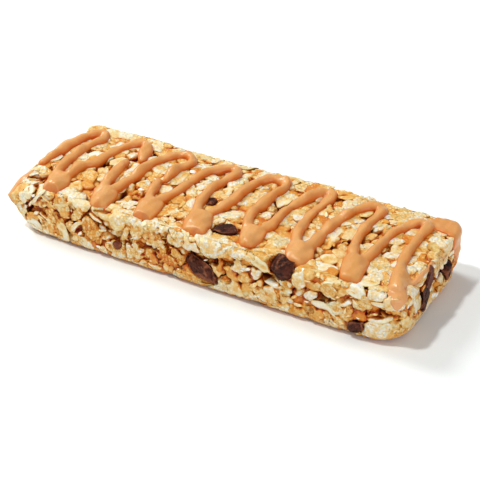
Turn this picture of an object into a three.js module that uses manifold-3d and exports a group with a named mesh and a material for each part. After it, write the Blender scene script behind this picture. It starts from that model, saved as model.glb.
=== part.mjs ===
// A soft granola bar: puffed rice, rolled oats and chocolate drops, bound with syrup, pressed into a slab
// and cut to length, with one zigzag line of peanut coating laid across its top. Millimetres, +Z up, +X along
// the bar and -Y towards the side where the line pools. The bar is one solid and rests on its flat underside.
import * as THREE from "three";
import { mergeVertices } from "three/addons/utils/BufferGeometryUtils.js";
import Module from "manifold-3d";

const wasm = await Module();
wasm.setup();

// ---- the pressed slab
const LENGTH = 95.2;
const WIDTH = 32.4;
const HEIGHT = 11.5;
const PROUD = 0.7; // how far the pieces may stand out of the slab
const PRESS_CORNER = 5; // radius of the corners in plan that no piece stands out of
const TOP_EDGE = 1.4; // radius of the upper edges
const BOTTOM_EDGE = 2.4; // radius of the lower edges
const TOP_CORNER = 2.4; // radius of the corners in plan, at the top
const BOTTOM_CORNER = 6.4; // and at the bottom
// The front left corner is pinched: it stands out most at a share of the height, with a small radius in plan
// there, and larger ones at the bottom and on top.
const PINCHED = { at: 0.68, radius: 0.8, bottom: 8.5, top: 12 };
const BARREL = 0.3; // how far the long sides bow out at mid length
const LEFT_LEAN = 0.7; // how far the left end leans in from there towards its top
const LEFT_TUCK = 2.0; // and towards its bottom
const LEVELS = [0, 0.05, 0.2, 0.68, 0.9, 1]; // heights of the slab's rings, as shares of HEIGHT
const CELLS_LONG = 16;
const CELLS_WIDE = 6;

// ---- what is pressed into it
const CRISP = { long: 5.8, wide: 3.6, high: 3.4 }; // a puffed rice grain
const UNIT_GRAIN = 0.54; // radius of the twenty-sided grain, about 1 long, that is stretched to that
const OAT = { long: 7.4, wide: 5.6, thick: 0.9, bow: 0.5, sides: 7 }; // a rolled oat flake
const CHIP = { radius: 2.8, high: 3.6, sides: 9 }; // a chocolate drop
const SIZE_SPREAD = 0.22; // pieces of a kind differ by this share of their size
const OATS = { count: 44, spacing: 8.4 };
const CRISPS = { count: 150, spacing: 5.0 };
const CHIP_CLEARANCE = 4.2; // from a chip's middle to that of an oat or a grain
const CRISP_SUNK = 0.5; // how deep a grain's middle lies
const OAT_SUNK = { top: 0, side: 2.4 };
const OAT_TILT = 0.5; // radians, from level
const TRIES = 60; // draws for each piece, before the slab counts as full
const FACES_UP = 0.7; // a spot whose way out has this much of +Z or more counts as on top
const SEED = 90210;

// ---- the line of coating
const STRAND = { wide: 3.2, high: 2.8, rise: 0.35, sides: 8, step: 2.9 };
const POOL = { wide: 6.3, long: 9.6, high: 2.9, y: -11.1, lean: 0.2 };
const TURN_HALF = 2.2; // half the width of a turn at the back
// How far across the bar, from its front to its back, a loop's way is set.
const ACROSS = { merge: -8.5, near: -4.5, middle: 0, far: 5.5, shoulder: 10.1, apex: 12.2 };
const LINE_START = [-45.2, -8];
// Where each loop crosses the bar's middle going back, turns, crosses it again coming forward, and pools.
const LOOPS = [
  { back: -45.8, apex: -41.8, forward: -41.0, pool: -37.3 },
  { back: -35.3, apex: -30.7, forward: -28.7, pool: -25.2 },
  { back: -23.7, apex: -19.2, forward: -16.9, pool: -13.6 },
  { back: -11.7, apex: -6.6, forward: -5.9, pool: -1.2 },
  { back: 0.7, apex: 4.9, forward: 6.6, pool: 11.1 },
  { back: 12.4, apex: 17.3, forward: 18.3, pool: 22.8 },
  { back: 23.7, apex: 29.0, forward: 30.4, pool: 34.6 },
  { back: 35.8, apex: 40.5, forward: 41.7, pool: 44.2 },
];
const CORNER_RUN = [[40.8, 11.8], [43.4, 13.2], [45.8, 13.6]]; // from the last apex to the back right corner

// The chocolate drops that show: the middle of each, and the way its tip points.
const CHIPS = [
  { at: [4.8, -10.6, 11.0], tip: [0.1, -0.3, -1] },
  { at: [-3.2, -2.6, 10.8], tip: [0.3, 0.2, 1] },
  { at: [21.2, -14.9, 10.0], tip: [-0.5, -1, 0.2] },
  { at: [2.8, -15.2, 4.9], tip: [0.8, 0.9, -0.6] },
  { at: [45.9, -1.8, 7.6], tip: [-1, 0.1, 0.2] },
  { at: [45.8, 9.4, 3.9], tip: [0.9, 0.3, -0.2] },
  { at: [37.8, -14.6, 3.2], tip: [0.2, 1, 0.3] },
  { at: [-18.8, 14.6, 5.2], tip: [0.3, 1, 0.3] },
  { at: [13.5, 14.7, 7.0], tip: [-0.5, -1, 0.2] },
  { at: [33.0, 14.5, 4.4], tip: [0.6, 1, -0.3] },
  { at: [-45.6, 4.6, 6.2], tip: [-1, -0.3, 0.3] },
];

const { clamp, seededRandom: random } = THREE.MathUtils;
const between = (low, high, share) => low + (high - low) * share;
const spread = () => 1 + SIZE_SPREAD * (2 * random() - 1);
const vector = (...xyz) => new THREE.Vector3(...xyz);

// Moves each vertex of a geometry to where change puts it.
function reshape(geometry, change) {
  const position = geometry.attributes.position;
  for (let i = 0; i < position.count; i++) {
    const moved = change(vector().fromBufferAttribute(position, i));
    position.setXYZ(i, moved.x, moved.y, moved.z);
  }
  return geometry;
}

// ---- the pressed slab
// How far an edge of that radius has drawn in, at a depth below the face that it rounds into.
function roundedBy(radius, depth) {
  return depth < radius ? radius - Math.sqrt(radius ** 2 - (radius - depth) ** 2) : 0;
}

const halfWidthAt = (x) => WIDTH / 2 - BARREL * (1 - Math.cos((Math.PI * x) / LENGTH));

// How far a height, 0 to 1, is from where the left end stands out most: 0 there, 1 at the bottom and on top.
const fromPinch = (w) => (w < PINCHED.at ? 1 - w / PINCHED.at : (w - PINCHED.at) / (1 - PINCHED.at));
const leftDraw = (w) => (w < PINCHED.at ? LEFT_TUCK : LEFT_LEAN) * fromPinch(w) ** 2;

function pinchedCorner(w) {
  const { at, radius, bottom, top } = PINCHED;
  return between(radius, w < at ? bottom : top, fromPinch(w));
}

// The point of the slab at u and v, -1 to 1 along and across it, and at w, 0 to 1 up it.
function slabPoint(u, v, w) {
  const z = HEIGHT * w;
  const drawnIn = roundedBy(TOP_EDGE, HEIGHT - z) + roundedBy(BOTTOM_EDGE, z);
  const halfLength = LENGTH / 2 - drawnIn - (u < 0 ? leftDraw(w) : 0);
  const halfWidth = halfWidthAt((u * LENGTH) / 2) - drawnIn;
  const corner = u < 0 && v < 0 ? pinchedCorner(w) : between(BOTTOM_CORNER, TOP_CORNER, w);
  const along = Math.abs(u) * halfLength;
  const across = Math.abs(v) * halfWidth;
  const overLong = Math.max(0, along - (halfLength - corner));
  const overWide = Math.max(0, across - (halfWidth - corner));
  const over = Math.hypot(overLong, overWide);
  const pull = over > 0 ? Math.max(overLong, overWide) / over : 1;
  const x = Math.min(along, halfLength - corner) + overLong * pull;
  const y = Math.min(across, halfWidth - corner) + overWide * pull;
  return vector(Math.sign(u) * x, Math.sign(v) * y, z);
}

// The height of the slab's top at a point, lower over its rounded edges.
function topAt(x, y) {
  const inside = Math.min(LENGTH / 2 - Math.abs(x), halfWidthAt(x) - Math.abs(y));
  return HEIGHT - roundedBy(TOP_EDGE, clamp(inside, 0, TOP_EDGE));
}

function slab() {
  const rings = LEVELS.length - 1;
  const box = new THREE.BoxGeometry(2, 2, rings, CELLS_LONG, CELLS_WIDE, rings);
  return reshape(box, ({ x, y, z }) => slabPoint(x, y, LEVELS[Math.round(z + rings / 2)]));
}

// ---- the line of coating
function curveOnTop(points) {
  return new THREE.CatmullRomCurve3(points.map(([x, y]) => vector(x, y, topAt(x, y) + STRAND.rise)));
}

// A loop runs back from a start near the front edge, turns, and comes forward to its own pool.
function loopCurve({ back, apex, forward, pool }, start) {
  return curveOnTop([
    start,
    [back - 0.2, ACROSS.near],
    [back, ACROSS.middle],
    [back + 0.5, ACROSS.far],
    [apex - TURN_HALF, ACROSS.shoulder],
    [apex, ACROSS.apex],
    [apex + TURN_HALF, ACROSS.shoulder],
    [forward + 0.2, ACROSS.far],
    [forward, ACROSS.middle],
    [between(forward, pool, 0.3), ACROSS.near],
    [pool - STRAND.wide / 2, ACROSS.merge],
  ]);
}

function drizzleCurves() {
  const restarts = LOOPS.map(({ pool }) => [pool + STRAND.wide / 2, ACROSS.merge]);
  const starts = [LINE_START, ...restarts];
  return [...LOOPS.map((loop, i) => loopCurve(loop, starts[i])), curveOnTop(CORNER_RUN)];
}

function strand(curve) {
  const section = new THREE.Shape().absellipse(0, 0, STRAND.high / 2, STRAND.wide / 2, 0, 2 * Math.PI);
  return new THREE.ExtrudeGeometry(section, {
    extrudePath: curve,
    steps: Math.round(curve.getLength() / STRAND.step),
    curveSegments: STRAND.sides / 2, // an ellipse gets two sides for each
    bevelEnabled: false,
  });
}

// Where the line turns back over the front edge, two strands run together into a blunt tongue.
function tongue({ pool }) {
  const block = new THREE.BoxGeometry(2, 2, 2, 3, 4, 2);
  return reshape(block, (p) => {
    p.divideScalar(Math.cbrt(Math.abs(p.x) ** 3 + Math.abs(p.y) ** 3 + Math.abs(p.z) ** 3));
    const forward = (p.y * POOL.long) / 2;
    const x = pool + (p.x * POOL.wide) / 2 - POOL.lean * forward;
    const y = POOL.y + forward;
    return vector(x, y, topAt(x, y) + STRAND.rise + (p.z * POOL.high) / 2);
  });
}

// ---- the pieces
// A piece made round the origin is turned about its own Z, which then points along a direction from a point.
function place(geometry, point, direction, turn = 0) {
  const lie = new THREE.Quaternion().setFromUnitVectors(vector(0, 0, 1), direction.clone().normalize());
  return geometry.rotateZ(turn).applyQuaternion(lie).translate(point.x, point.y, point.z);
}

// The press and the cutters flatten what would stand too far out of the slab, round its corners too.
function pressed(geometry) {
  const halfLength = LENGTH / 2 + PROUD - PRESS_CORNER;
  return reshape(geometry, (p) => {
    const halfWidth = halfWidthAt(p.x) + PROUD - PRESS_CORNER;
    const x = clamp(p.x, -halfLength, halfLength);
    const y = clamp(p.y, -halfWidth, halfWidth);
    const beyond = vector(p.x - x, p.y - y, 0).clampLength(0, PRESS_CORNER);
    return vector(x, y, Math.min(p.z, HEIGHT + PROUD)).add(beyond);
  });
}

function crisp() {
  const grain = new THREE.IcosahedronGeometry(UNIT_GRAIN, 0);
  return grain.scale(CRISP.long * spread(), CRISP.wide * spread(), CRISP.high * spread());
}

function oat() {
  const flake = new THREE.CylinderGeometry(0.5, 0.46, OAT.thick, OAT.sides).rotateX(Math.PI / 2);
  flake.scale(OAT.long * spread(), OAT.wide * spread(), 1);
  return reshape(flake, ({ x, y, z }) => vector(x, y, z - OAT.bow * (y / (OAT.wide / 2)) ** 2));
}

function chip({ at, tip }) {
  const profile = [[0, 0], [0.92, 0], [1, 0.18], [0.86, 0.45], [0.5, 0.76], [0, 1]];
  const outline = profile.map(([r, h]) => new THREE.Vector2(r * CHIP.radius, (h - 0.4) * CHIP.high));
  const drop = new THREE.LatheGeometry(outline, CHIP.sides).rotateX(Math.PI / 2);
  return place(drop, vector(...at), vector(...tip));
}

// The slab's top, sides and ends, each with the point that it has at s and t, -1 to 1.
const sideHeight = (t) => between(0.1, 0.94, (t + 1) / 2);
const FACES = [
  { area: LENGTH * WIDTH, at: (s, t) => slabPoint(s, t, 1) },
  { area: LENGTH * HEIGHT, at: (s, t) => slabPoint(s, -1, sideHeight(t)) },
  { area: LENGTH * HEIGHT, at: (s, t) => slabPoint(s, 1, sideHeight(t)) },
  { area: WIDTH * HEIGHT, at: (s, t) => slabPoint(1, s, sideHeight(t)) },
  { area: WIDTH * HEIGHT, at: (s, t) => slabPoint(-1, s, sideHeight(t)) },
];

function randomFace() {
  let left = random() * FACES.reduce((sum, { area }) => sum + area, 0);
  for (const face of FACES) {
    left -= face.area;
    if (left < 0) return face;
  }
  return FACES[0];
}

// The way out of the slab at a point of its surface: away from the nearest point of a smaller box inside it.
const CORE = new THREE.Box3(vector(-LENGTH / 2, -WIDTH / 2, 0), vector(LENGTH / 2, WIDTH / 2, HEIGHT));
CORE.expandByScalar(-HEIGHT / 4);
const wayOut = (point) => point.clone().sub(CORE.clampPoint(point, vector())).normalize();

// Spots spread over the slab, each clear of the others and of the chips.
function spots({ count, spacing }) {
  const found = [];
  for (let tries = 0; tries < TRIES * count && found.length < count; tries++) {
    const point = randomFace().at(2 * random() - 1, 2 * random() - 1);
    const clear =
      found.every((other) => other.distanceTo(point) > spacing) &&
      CHIPS.every(({ at }) => vector(...at).distanceTo(point) > CHIP_CLEARANCE);
    if (clear) found.push(point);
  }
  return found;
}

function pieces(curves) {
  const line = curves.flatMap((curve) => curve.getSpacedPoints(40));
  const onTop = (point) => wayOut(point).z > FACES_UP;
  const covered = (point) => line.some(({ x, y }) => Math.hypot(x - point.x, y - point.y) < STRAND.wide / 3);
  const showing = (point) => !onTop(point) || !covered(point);
  const made = CHIPS.map(chip);
  for (const point of spots(OATS).filter(showing)) {
    const depth = onTop(point) ? OAT_SUNK.top : OAT_SUNK.side;
    const up = vector(OAT_TILT * (2 * random() - 1), OAT_TILT * (2 * random() - 1), 1);
    made.push(place(oat(), point.addScaledVector(wayOut(point), -depth), up, 2 * Math.PI * random()));
  }
  for (const point of spots(CRISPS).filter(showing)) {
    const out = wayOut(point);
    made.push(place(crisp(), point.addScaledVector(out, -CRISP_SUNK), out, Math.PI * random()));
  }
  return made.map(pressed);
}

// ---- fusing
// A three.js geometry as a closed manifold solid.
function solid(geometry) {
  const bare = geometry.clone().deleteAttribute("normal").deleteAttribute("uv");
  const merged = mergeVertices(bare, 1e-4);
  const vertProperties = new Float32Array(merged.attributes.position.array);
  const triVerts = new Uint32Array(merged.index.array);
  return new wasm.Manifold(new wasm.Mesh({ numProp: 3, vertProperties, triVerts }));
}

// Everything joined and cut flat underneath. The largest shell is kept: sealed hollows fill, scraps drop.
function fuse(geometries) {
  const ground = new THREE.BoxGeometry(2 * LENGTH, 2 * WIDTH, HEIGHT).translate(0, 0, -HEIGHT / 2);
  const whole = wasm.Manifold.union(geometries.map(solid)).subtract(solid(ground));
  const [largest] = whole.decompose().sort((a, b) => b.volume() - a.volume());
  const { vertProperties, triVerts } = largest.getMesh();
  return new THREE.BufferGeometry()
    .setAttribute("position", new THREE.BufferAttribute(new Float32Array(vertProperties), 3))
    .setIndex(new THREE.BufferAttribute(new Uint32Array(triVerts), 1));
}

// The middle of the finished bar's length and width is put at the origin.
function centred(geometry) {
  geometry.computeBoundingBox();
  const middle = geometry.boundingBox.getCenter(vector());
  return geometry.translate(-middle.x, -middle.y, 0);
}

random(SEED);
const curves = drizzleCurves();
const geometry = centred(fuse([slab(), ...pieces(curves), ...curves.map(strand), ...LOOPS.map(tongue)]));
geometry.computeVertexNormals();

const bar = new THREE.Mesh(
  geometry,
  new THREE.MeshStandardMaterial({ color: 0xd9b06c, roughness: 0.6, metalness: 0 }),
);
bar.name = "granola_bar";

const group = new THREE.Group();
group.add(bar);

export default group;
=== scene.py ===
"""A granola bar of puffed rice, oat flakes and chocolate drops, with a zigzag line of peanut coating.

The CAD solid gives the size and the place. Its node is replaced by what the real bar is made of: a core of
syrup, grains, broken crisps, flakes and crumbs stuck to it and pressed into the bar's outline, chocolate
drops, and the line of coating that lies over them. Lengths are millimetres until a mesh is made.
"""

import math

import bpy
import numpy as np
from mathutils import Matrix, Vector
from mathutils.kdtree import KDTree


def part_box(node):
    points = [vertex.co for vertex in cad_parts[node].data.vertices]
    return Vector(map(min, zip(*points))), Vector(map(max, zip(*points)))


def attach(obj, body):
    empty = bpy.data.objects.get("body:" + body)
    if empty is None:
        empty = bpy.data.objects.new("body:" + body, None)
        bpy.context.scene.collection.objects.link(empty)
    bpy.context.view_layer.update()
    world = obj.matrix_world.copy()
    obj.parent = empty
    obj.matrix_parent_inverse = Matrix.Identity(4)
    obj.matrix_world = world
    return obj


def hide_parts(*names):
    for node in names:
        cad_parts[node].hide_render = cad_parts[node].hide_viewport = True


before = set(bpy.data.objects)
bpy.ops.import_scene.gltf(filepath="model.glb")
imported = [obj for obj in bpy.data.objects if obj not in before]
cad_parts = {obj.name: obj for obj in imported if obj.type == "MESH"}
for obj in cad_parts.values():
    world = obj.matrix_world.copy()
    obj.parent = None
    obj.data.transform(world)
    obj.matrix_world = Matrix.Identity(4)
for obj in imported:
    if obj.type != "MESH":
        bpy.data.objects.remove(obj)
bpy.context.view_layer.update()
NODE = "granola_bar"
MM = 0.001
LOW, HIGH = (np.array(corner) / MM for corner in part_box(NODE))

# ---- the pressed bar's outline
WIDER = 0.2  # how much further out than the solid's long sides the pieces reach
HALF_LONG = (HIGH[0] - LOW[0]) / 2
HALF_WIDE = (HIGH[1] - LOW[1]) / 2 + WIDER
COATING_CREST = 1.0  # how far the coating stands above the granola
TOP = HIGH[2] - COATING_CREST
TOP_EDGE, TOP_EDGE_BACK, BOTTOM_EDGE = 1.5, 0.6, 2.2  # how round its edges are
TOP_CORNER, BOTTOM_CORNER, BOTTOM_CORNER_FRONT = 2.8, 6.8, 7.8  # and its corners in plan
# The front left corner is pinched: it stands out most at a share of the height, with a small radius in plan
# there, and larger ones at the bottom and on top.
PINCH_AT, PINCH_RADIUS, PINCH_BOTTOM, PINCH_TOP = 0.68, 0.8, 8.5, 12.0
LEFT_LEAN = 0.7  # how far the left end leans in from there towards its top
LEFT_TUCK = 2.0  # and towards its bottom
BARREL = 0.3  # how far the long sides bow out at mid length
RIGHT_IN = 0.35  # how far the right end lies inside the box
SWELL = 0.35  # how far the pressed faces rise and fall
# Along the back the top is higher in some stretches and lower in others: middle, reach, height. It comes in
# from the first y to the second.
BACK_RISES = [(21.0, 12.0, 0.75), (-12.0, 8.0, -0.55)]
BACK_FROM, BACK_TO = 5, 14

# Hollows between the pieces of the front: x, z, half width, half height.
HOLLOWS = [
    (8.8, 8.7, 1.9, 1.0), (5.8, 7.6, 1.0, 1.2), (8.6, 4.2, 1.8, 0.9), (13.6, 10.0, 1.8, 0.6),
    (17.4, 7.8, 0.9, 1.1), (30.6, 7.3, 1.2, 0.8), (28.0, 3.4, 1.3, 0.8), (38.8, 6.6, 1.2, 0.6),
    (-1.3, 4.2, 0.6, 1.0), (-1.2, 7.7, 0.7, 0.6), (-26.4, 11.4, 1.0, 0.7), (-22.4, 11.4, 2.0, 0.5),
    (-28.6, 9.4, 1.2, 0.5), (-23.2, 8.2, 0.9, 0.5), (-19.0, 8.8, 0.7, 0.6), (-36.0, 11.4, 1.0, 0.5),
    (-41.4, 11.2, 1.2, 0.5), (-10.0, 6.4, 0.8, 0.5), (22.6, 5.2, 1.0, 0.5), (43.0, 7.6, 1.1, 0.4),
]
HOLLOW_DEPTH = 3.4
HOLLOW_REACH = 1.8  # at this many times its size a hollow has no effect any more
RECESS_SIDE = 2.4  # how much deeper pieces lie in the patches of the sides
RECESS_LEVEL = 1.9  # and of the top and the underside
RECESS_WAVES = (5.5, 7.5, 11.0)
RECESS_FROM, RECESS_TO = 1.5, 4.5  # the heights between which it sets in on the sides
LEVEL = 0.7  # a way out that points up or down by more than this is the top's or the underside's
SKIN = 3.2  # how far inside the bar the box lies that the ways out start from

SEED = 4127
SIDE_SALT, TOP_SALT, RECESS_SALT = 11, 12, 31
LEVEL_ONLY = (1, 1, 0)
TINY = 1e-9


# ---- small numeric tools
def rounded(radius, depth):
    """How far an edge of that radius has drawn in, at a depth below the face that it rounds into."""
    into = np.clip(radius - depth, 0, radius)
    return radius - np.sqrt(radius ** 2 - into ** 2)


def swell(p, salt, waves=(9.0, 14.0, 23.0)):
    """A slow rise and fall over the bar, 0 to 1, different for each salt."""
    rng = np.random.default_rng(salt)
    total = np.zeros(len(p))
    for wave in waves:
        way = rng.normal(size=3)
        way *= 2 * math.pi / wave / np.linalg.norm(way)
        total += np.sin(p @ way + rng.uniform(0, 2 * math.pi))
    return 0.5 + total / 6


def outline(p):
    """How far points lie outside the bar's outline at their own height, and the way out of it in plan."""
    x, y = p[:, 0], p[:, 1]
    up = np.clip(p[:, 2] / TOP, 0, 1)
    low = up < PINCH_AT
    from_pinch = np.where(low, 1 - up / PINCH_AT, (up - PINCH_AT) / (1 - PINCH_AT))
    pinch = PINCH_RADIUS + (np.where(low, PINCH_BOTTOM, PINCH_TOP) - PINCH_RADIUS) * from_pinch
    drawn = np.where(x < 0, np.where(low, LEFT_TUCK, LEFT_LEAN) * from_pinch ** 2, RIGHT_IN)
    bottom_corner = np.where(y < 0, BOTTOM_CORNER_FRONT, BOTTOM_CORNER)
    corner = np.where((x < 0) & (y < 0), pinch, bottom_corner + (TOP_CORNER - bottom_corner) * up)
    top_edge = np.where(y > 0, TOP_EDGE_BACK, TOP_EDGE)
    inset = rounded(top_edge, TOP * (1 - up)) + rounded(BOTTOM_EDGE, TOP * up) + SWELL * swell(p, SIDE_SALT)
    barrel = BARREL * (1 - np.cos(math.pi * x / (2 * HALF_LONG)))
    half = np.stack([HALF_LONG - inset - drawn, HALF_WIDE - inset - barrel], 1)
    over = np.abs(p[:, :2]) - half + corner[:, None]
    beyond = np.maximum(over, 0)
    reach = np.linalg.norm(beyond, axis=1)
    distance = reach + np.minimum(over.max(1), 0) - corner
    flat = np.eye(2)[over.argmax(1)]
    way = np.where(reach[:, None] > TINY, beyond / np.maximum(reach, TINY)[:, None], flat)
    return distance, way * np.sign(p[:, :2])


def back_rise(p):
    """How much higher the top is at points near the back."""
    back = sum(height * np.exp(-((p[:, 0] - x) / reach) ** 2) for x, reach, height in BACK_RISES)
    return back * ramp(p[:, 1], BACK_FROM, BACK_TO)


def top_at(p):
    """The height of the granola's top under points."""
    return TOP - SWELL * swell(p * LEVEL_ONLY, TOP_SALT) + back_rise(p)


def ramp(value, start, end):
    """0 up to start, 1 from end on."""
    return np.clip((value - start) / (end - start), 0, 1)


def soften(distance, give):
    """Distances past -give are eased, and never pass 0."""
    eased = give * (1 - np.exp(-(distance + give) / give)) - give
    return np.where(distance > -give, eased, distance)


def press(p, give):
    """Points pushed back into the pressed bar, the more softly the larger give is."""
    p = p.copy()
    distance, way = outline(p)
    p[:, :2] -= way * (distance - soften(distance, give))[:, None]
    top = top_at(p)
    p[:, 2] = top + soften(p[:, 2] - top, give)
    p[:, 2] = -soften(-p[:, 2], give * 0.5)
    return p


def carve(p):
    """Points moved sideways out of the hollows that the front shows between its pieces."""
    p = p.copy()
    for x, z, wide, high in HOLLOWS:
        off = (p[:, [0, 2]] - (x, z)) / (wide, high)
        ring = np.linalg.norm(off, axis=1)
        inside = (ring < 1) & (ring > TINY) & (p[:, 1] < HOLLOW_DEPTH - HALF_WIDE)
        p[np.ix_(inside, [0, 2])] += off[inside] * (1 / ring[inside] - 1)[:, None] * (wide, high)
    return p


def hollow_share(p):
    """1 where points of the front lie over a hollow, 0 well away from any."""
    share = np.zeros(len(p))
    for x, z, wide, high in HOLLOWS:
        ring = np.linalg.norm((p[:, [0, 2]] - (x, z)) / (wide, high), axis=1)
        share = np.maximum(share, np.clip(HOLLOW_REACH - ring, 0, 1))
    return share * (p[:, 1] < 0)


def recess(p, out):
    """How deep pieces lie besides, in patches, more on the sides than on the pressed top and underside."""
    patchy = np.clip(swell(p, RECESS_SALT, RECESS_WAVES) - 0.5, 0, 1) * 2
    side = RECESS_SIDE * ramp(p[:, 2], RECESS_FROM, RECESS_TO)
    return patchy * np.where(np.abs(out[:, 2]) > LEVEL, RECESS_LEVEL, side)


def depth_of(p):
    """How deep points lie in the bar, in millimetres."""
    distance, _ = outline(p)
    nearest = np.minimum(np.minimum(-distance, top_at(p) - p[:, 2]), p[:, 2])
    return np.maximum(nearest, 0)


def way_out(p):
    """The way out of the bar at points: away from the nearest point of a smaller box inside it."""
    middle = np.array([0, 0, TOP / 2])
    half = np.array([HALF_LONG, HALF_WIDE, TOP / 2]) - SKIN
    out = p - middle - np.clip(p - middle, -half, half)
    return out / np.maximum(np.linalg.norm(out, axis=1), TINY)[:, None]


def unit(v):
    return v / np.linalg.norm(v)


def turned(rng, z_way, tilt, x_way=None):
    """A rotation that takes Z to a direction, give or take a tilt, and X to any way round it or to x_way."""
    z = unit(np.asarray(z_way, float) + rng.normal(size=3) * tilt)
    x = rng.normal(size=3) if x_way is None else np.asarray(x_way, float)
    x = unit(x - z * (x @ z))
    return np.stack([x, np.cross(z, x), z], 1)


# ---- shapes
def fan(middle, ring, around):
    """Triangles from a middle point to a ring, given by its first point."""
    here = np.arange(around)
    return np.stack([np.full(around, middle), ring + here, ring + (here + 1) % around], 1)


def strip(a, b, around, other_way=False):
    """Triangles between two rings, given by their first points, with the diagonals one way or the other."""
    here = np.arange(around)
    beside = (here + 1) % around
    halves = ((a + here, b + here, b + beside), (a + here, b + beside, a + beside))
    if other_way:
        halves = ((a + here, b + here, a + beside), (a + beside, b + here, b + beside))
    return np.concatenate([np.stack(half, 1) for half in halves])


def sphere_grid(around, rings_up, rings_down):
    """Points of a unit ball with its poles on Z, finer above than below, and its triangles."""
    steep = np.concatenate([
        np.linspace(0, math.pi / 2, rings_up + 1)[1:],
        np.linspace(math.pi / 2, math.pi, rings_down + 1)[1:-1],
    ])
    turn = np.arange(around) * 2 * math.pi / around
    rings = [
        np.stack([np.sin(s) * np.cos(turn + i % 2 * math.pi / around),
                  np.sin(s) * np.sin(turn + i % 2 * math.pi / around),
                  np.full(around, np.cos(s))], 1)
        for i, s in enumerate(steep)
    ]
    points = np.concatenate([[[0, 0, 1]], *rings, [[0, 0, -1]]])
    triangles = [fan(0, 1, around)]
    for i in range(len(steep) - 1):
        # Every other ring is turned half a step, so the diagonal goes the way that keeps triangles even.
        triangles.append(strip(1 + i * around, 1 + (i + 1) * around, around, i % 2 == 0))
    last = fan(len(points) - 1, len(points) - 1 - around, around)
    return points, np.concatenate([*triangles, last[:, [1, 0, 2]]])


def slow_bumps(rng, p, wave, amount):
    """A smooth random change of size for each point."""
    total = np.zeros(len(p))
    for _ in range(4):
        way = unit(rng.normal(size=3)) * 2 * math.pi / (wave * rng.uniform(0.7, 1.5))
        total += np.sin(p @ way + rng.uniform(0, 2 * math.pi))
    return amount * total / 2


def broken(rng, p, breaks, least, most):
    """Points with flat faces where a piece broke, each at a share of its reach that way, and those faces."""
    faces = []
    for _ in range(breaks):
        way = unit(rng.normal(size=3))
        reach = p @ way
        limit = reach.max() * rng.uniform(least, most)
        p = p - way * np.maximum(reach - limit, 0)[:, None]
        faces.append((way, limit))
    return p, faces


def bubbles(rng, p, size, pits=0.0):
    """The relief of a puffed skin, -1 to 1: rounded bubbles with creases between them, and some pits."""
    spread = p.max(0) - p.min(0)
    area = math.pi * (spread[0] * spread[1] + spread[1] * spread[2] + spread[0] * spread[2]) / 3
    seeds = p[rng.integers(0, len(p), max(6, int(area / size ** 2)))]
    seeds = seeds + rng.normal(size=seeds.shape) * size * 0.25
    sign = np.where(rng.random(len(seeds)) < pits, -0.9, 1.0)
    gap = np.linalg.norm(p[:, None] - seeds[None], axis=2)
    nearest = gap.argmin(1)
    dome = 1 - 2 * (gap.min(1) / size) ** 2
    return np.clip(dome, -1, 1) * sign[nearest]


class Pile:
    """Pieces of one kind, gathered as arrays and made into one mesh."""

    def __init__(self):
        self.points, self.triangles, self.tone, self.crest, self.count = [], [], [], [], 0

    def add(self, points, triangles, tone, crest):
        self.points.append(points)
        self.triangles.append(triangles + self.count)
        self.tone.append(np.full(len(points), tone))
        self.crest.append(crest)
        self.count += len(points)


def evened(grid, blur, reach, beyond):
    """A grid evened out by a bell blur cells wide that reaches so many cells each way. Beyond the grid is
    constant, for 0, or edge, for what its edge holds."""
    taps = np.exp(-0.5 * (np.arange(-reach, reach + 1) / blur) ** 2)
    for axis in range(grid.ndim):
        margins = [(reach, reach) if a == axis else (0, 0) for a in range(grid.ndim)]
        padded = np.pad(grid, margins, mode=beyond)
        cells = grid.shape[axis]
        grid = sum(tap * padded.take(range(k, k + cells), axis) for k, tap in enumerate(taps / taps.sum()))
    return grid


def sampled(grid, low, cell, p):
    """What a grid says at points, evened between its cells. The first cell is at low."""
    u = np.clip((p - low) / cell, 0, np.array(grid.shape) - 1.001)
    whole = u.astype(int)
    part = u - whole
    total = np.zeros(len(p))
    for corner in np.ndindex(*[2] * grid.ndim):
        share = np.prod(np.where(np.array(corner) == 1, part, 1 - part), axis=1)
        total += share * grid[tuple((whole + corner).T)]
    return total


CROWD_CELL = 0.45
CROWD_MARGIN = 2.5
CROWD_BLUR = 1.6  # in cells
CROWD_SHELLS = (0.3, 0.55, 0.75, 0.92)  # a piece fills the cells at these shares of the way to its skin
SOLID_DEPTH = 2.8  # the bar is solid from this depth on


def crowding_of(piles):
    """How closely pieces stand round a point: near 0 off the bar, 0.5 on a level face, 1 deep inside."""
    low = np.array([-HALF_LONG, -HALF_WIDE, 0]) - CROWD_MARGIN
    high = np.array([HALF_LONG, HALF_WIDE, TOP]) + CROWD_MARGIN
    shape = tuple(((high - low) / CROWD_CELL).astype(int) + 2)
    axes = [np.arange(n) * CROWD_CELL + start for n, start in zip(shape, low)]
    cells = np.stack(np.meshgrid(*axes, indexing="ij"), -1).reshape(-1, 3)
    grid = (depth_of(cells) > SOLID_DEPTH).astype(float).reshape(shape)
    for points in (points for pile in piles for points in pile.points):
        middle = points.mean(0)
        for share in CROWD_SHELLS:
            at = np.round((middle + (points - middle) * share - low) / CROWD_CELL).astype(int)
            grid[tuple(np.clip(at, 0, np.array(shape) - 1).T)] = 1
    grid = evened(grid, CROWD_BLUR, int(3 * CROWD_BLUR), "constant")
    return lambda p: sampled(grid, low, CROWD_CELL, p)


GRAIN_BALL = sphere_grid(20, 8, 3)
CRAG_BALL = sphere_grid(32, 14, 4)
CRUMB_BALL = sphere_grid(8, 3, 2)
DROP_BALL = sphere_grid(48, 20, 8)


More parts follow.
